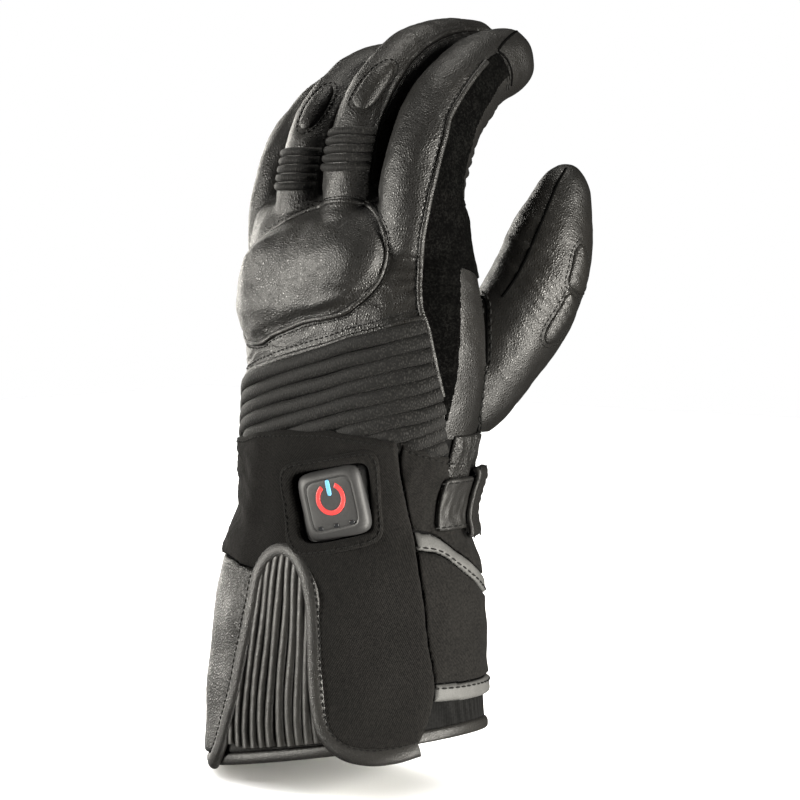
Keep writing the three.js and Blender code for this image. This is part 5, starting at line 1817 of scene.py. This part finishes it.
# %% Lining and hem
def hoop(name, finish, profile, sides=180, wrinkle=0.0, seed=0):
    """A closed profile of (height above the hem as a function, lift), carried round the cuff."""
    around = np.linspace(0, 360, sides, endpoint=False)
    rings = np.array([on_body(around, height(around), lift) for height, lift in profile])
    if wrinkle:
        points = rings.reshape(-1, 3)
        inward = points * (-1, -1, 0) / np.maximum(np.linalg.norm(points[:, :2], axis=1), 1)[:, None]
        bulge = np.clip(soft_noise(points * (1, 1, 0.35), 14, seed), -1, 1.5)
        amount = np.repeat([wrinkle if lift < -1.5 else 0.0 for _, lift in profile], sides)
        rings = (points + inward * (amount * bulge)[:, None]).reshape(rings.shape)
    rows = len(rings)
    r, s = np.meshgrid(np.arange(rows), np.arange(sides), indexing="ij")
    a, b = r * sides + s, r * sides + (s + 1) % sides
    up = (r + 1) % rows
    faces = np.stack([a, b, up * sides + (s + 1) % sides, up * sides + s], -1).reshape(-1, 4)
    points = rings.reshape(-1, 3)
    outward = (normals_of(points, faces)[:sides] * points[:sides] * (1, 1, 0)).sum()
    return mesh_from(name, points, faces if outward > 0 else faces[:, ::-1], finish)


between = lambda share: (lambda around: hem(around) + share * (WRIST_SEAM - hem(around)))
outer_wall = [(between(share), -0.15) for share in np.linspace(0.0, 1.0, 12)]
inner_wall = [(between(share), -2.2) for share in np.linspace(1.0, 0.0, 40)]
lining = hoop("cuff_lining_cloth", LINING, outer_wall + inner_wall, 180, 0.5, 61)
settle(lining, "lining", "cuff_lining")
roll_angle = np.linspace(0, 2 * math.pi, 20, endpoint=False)
roll_rise = 2.3 * squared(np.sin(roll_angle), 2.6)
roll_lift = -0.9 + 2.0 * squared(np.cos(roll_angle), 2.6)
hem_profile = [
    (lambda around, rise=rise: hem(around) - 2.0 + rise, lift) for rise, lift in zip(roll_rise, roll_lift)
]
hem_roll = hoop("hem_roll", TRIM_LEATHER, hem_profile, 240)
settle(hem_roll, "leather", "hem_binding")

# %% [markdown]
# The wrist strap is a flat leather band with a loop that keeps its end. The loop is bent over
# the strap like a staple: its chart runs up one side, over the top and down the other.

# %% Strap and keeper
STRAP_Z, STRAP_HALF, STRAP_LIFT = cuff_at(0.83), 9.5, 2.9
strap_outline = pill(108.5, STRAP_Z, 31.5, STRAP_HALF, 80, 14.0)
strap = panel(
    "wrist_strap_band", TRIM_LEATHER, on_body, strap_outline, 1.7, STRAP_LIFT, 0.7, 0.9,
    soft_detail(0.14, 6, 71),
)
settle(strap, "leather", "wrist_strap")
KEEPER_FIRST, KEEPER_LAST = 99.0, 119.7
keeper_half = STRAP_HALF + 1.7
KEEPER_STEP, KEEPER_TOP = 0.4, 5.3
keeper_side = [
    (keeper_half, 2.9), (keeper_half, 4.0), (keeper_half - 0.6, 5.0), (keeper_half - 2.2, KEEPER_TOP),
    (5, KEEPER_TOP),
]
other_side = [(-along, rise) for along, rise in keeper_side]
keeper_path = rounded_line(other_side + [(0, KEEPER_TOP)] + keeper_side[::-1], KEEPER_STEP)
keeper_way = unit(eased(np.gradient(keeper_path, axis=0), 4))
keeper_run = np.arange(len(keeper_path)) * KEEPER_STEP


def keeper_surface(around, run, lift):
    along, rise, way_z, way_lift = (
        np.interp(run, keeper_run, column) for column in (*keeper_path.T, *keeper_way.T)
    )
    return on_body(around, STRAP_Z + along - way_lift * lift, rise + way_z * lift)


keeper_middle, keeper_reach = (KEEPER_FIRST + KEEPER_LAST) / 2, (KEEPER_LAST - KEEPER_FIRST) / 2
half_run = keeper_run[-1] / 2
keeper_outline = pill(keeper_middle, half_run, keeper_reach, half_run, 80, 12.0)
keeper = panel(
    "keeper_loop", TRIM_LEATHER, keeper_surface, keeper_outline, 1.6, 0.0, 0.5, 0.8,
    soft_detail(0.06, 4, 72),
)
settle(keeper, "leather", "strap_keeper")

# %% [markdown]
# Stitches finish the cuff. Every row is a line on the body that runs beside an edge. The rows on
# softshell and leather use a fine dark thread, those on the bindings and the strap a thicker one.

# %% Stitches of the cuff
def row(places, lift):
    return line_on(on_body, np.asarray(places, float), lift)


seam_row = [(a, rib_low(a) - 1.3) for a in np.arange(-86, flap_right[0, 0] - 2, 1.5)]
side_seam_row = [(a, rib_low(a) - 1.5) for a in np.arange(flap_right[0, 0] + 4, 92, 1.5)]
button_row = cuff_places(round_square(3.3))
fine_cuff_rows = [
    row(seam_row, flap_top(seam_row)),
    row(side_seam_row, 2.3),
    row(np.vstack([button_row, button_row[:1]]), 4.72),
    row(shifted(arch, 2.55)[4:-3], 3.35),
    row([(a, hem(a) + 2.2) for a in np.arange(TAB_END + 3, 268, 2.0)], 2.15),
]
stitch("cuff_stitches", fine_cuff_rows, 2.3, 1.75, 0.5, "softshell")
upper_around, lower_around = (np.arange(flap_edge(z) + 1.5, TAB_END - 1, 2.0) for z in (75.0, 28.0))
upper_row = [(a, read(tab_top, a) - BINDING_WIDE + 1.3) for a in upper_around]
lower_row = [(a, read(tab_low, a) + BINDING_WIDE - 1.3) for a in lower_around]
strap_rows = [[(a, STRAP_Z + side * 7.9) for a in np.arange(76, 138, 2.0)] for side in (-1, 1)]
thick_cuff_rows = [row(upper_row, 2.5), row(lower_row, 2.5)] + [row(places, 4.65) for places in strap_rows]
for side in (KEEPER_FIRST + 2.2, KEEPER_LAST - 6.0):
    run = np.linspace(2.0, keeper_run[-1] - 2.0, 40)
    thick_cuff_rows.append(line_on(keeper_surface, np.stack([np.full(40, side), run], -1), 1.62))
stitch("binding_stitches", thick_cuff_rows, 2.9, 2.3, 0.65, "binding")

# %% [markdown]
# The studio is plain: a pale floor and soft lamps. Black leather shows its form by what it
# mirrors, so the room itself is kept dim and five soft boxes draw the highlights: on the left,
# on the right, overhead, behind, and one low on the right. That one stands below the floor, which
# casts no shadow, and it lights what faces down. The camera sees the room as white. A sixth lamp
# lights the floor alone, and the floor throws no light back, so it stays pale under the glove
# and the leather stays black.

# %% Floor and room
floor_mesh = bpy.data.meshes.new("floor")
FLOOR_Z = cad_box[0][2] - 1.5 * MM
FLOOR_REACH = 1.6
corners = [(x, y, FLOOR_Z) for x, y in ((-1, -1), (1, -1), (1, 1), (-1, 1))]
floor_mesh.from_pydata([(x * FLOOR_REACH, y * FLOOR_REACH, z) for x, y, z in corners], [], [(0, 1, 2, 3)])
floor_finish = Finish("pale_floor", Base_Color=(0.86, 0.86, 0.86, 1), Roughness=0.9)
floor_mesh.materials.append(floor_finish.material)
floor = bpy.data.objects.new("floor", floor_mesh)
bpy.context.collection.objects.link(floor)
floor.visible_diffuse = False
floor.visible_glossy = False
floor.visible_shadow = False

world = bpy.data.worlds.new("studio")
world.use_nodes = True
room = world.node_tree
dim = room.nodes["Background"]
dim.inputs["Color"].default_value = (1, 1, 1, 1)
dim.inputs["Strength"].default_value = 0.03
white = room.nodes.new("ShaderNodeBackground")
white.inputs["Color"].default_value = (1, 1, 1, 1)
white.inputs["Strength"].default_value = 1.0
path = room.nodes.new("ShaderNodeLightPath")
choose = room.nodes.new("ShaderNodeMixShader")
room.links.new(path.outputs["Is Camera Ray"], choose.inputs["Fac"])
room.links.new(dim.outputs[0], choose.inputs[1])
room.links.new(white.outputs[0], choose.inputs[2])
room.links.new(choose.outputs[0], room.nodes["World Output"].inputs["Surface"])
bpy.context.scene.world = world
bpy.context.scene.view_settings.view_transform = "Standard"
print("room strength on the glove:", dim.inputs["Strength"].default_value)


# %% Soft lamps
def lamp(name, at, size, watts, aim=(0, 0, 0.13), tint=(1.0, 0.965, 0.89)):
    data = bpy.data.lights.new(name, "AREA")
    data.shape = "RECTANGLE"
    data.size, data.size_y = size
    data.energy = watts
    data.color = tint
    made = bpy.data.objects.new(name, data)
    made.location = at
    made.rotation_euler = (Vector(aim) - Vector(at)).to_track_quat("-Z", "Y").to_euler()
    bpy.context.collection.objects.link(made)
    return made


lamp("key_left", (-0.95, -0.8, 0.25), (0.35, 0.7), 26)
lamp("side_right", (1.15, 0.0, 0.2), (0.3, 0.8), 34)
lamp("low_right", (0.95, -0.3, -0.6), (0.3, 0.5), 20)
lamp("overhead", (-0.2, 0.1, 1.25), (0.5, 0.4), 5)
lamp("behind_left", (-1.1, 0.4, 0.3), (0.4, 0.9), 9)
wash = lamp("floor_wash", (0, 0, 2.0), (5, 5), 260, (0, 0, 0), (1, 1, 1))
floor_only = bpy.data.collections.new("floor_only")
floor_only.objects.link(floor)
wash.light_linking.receiver_collection = floor_only
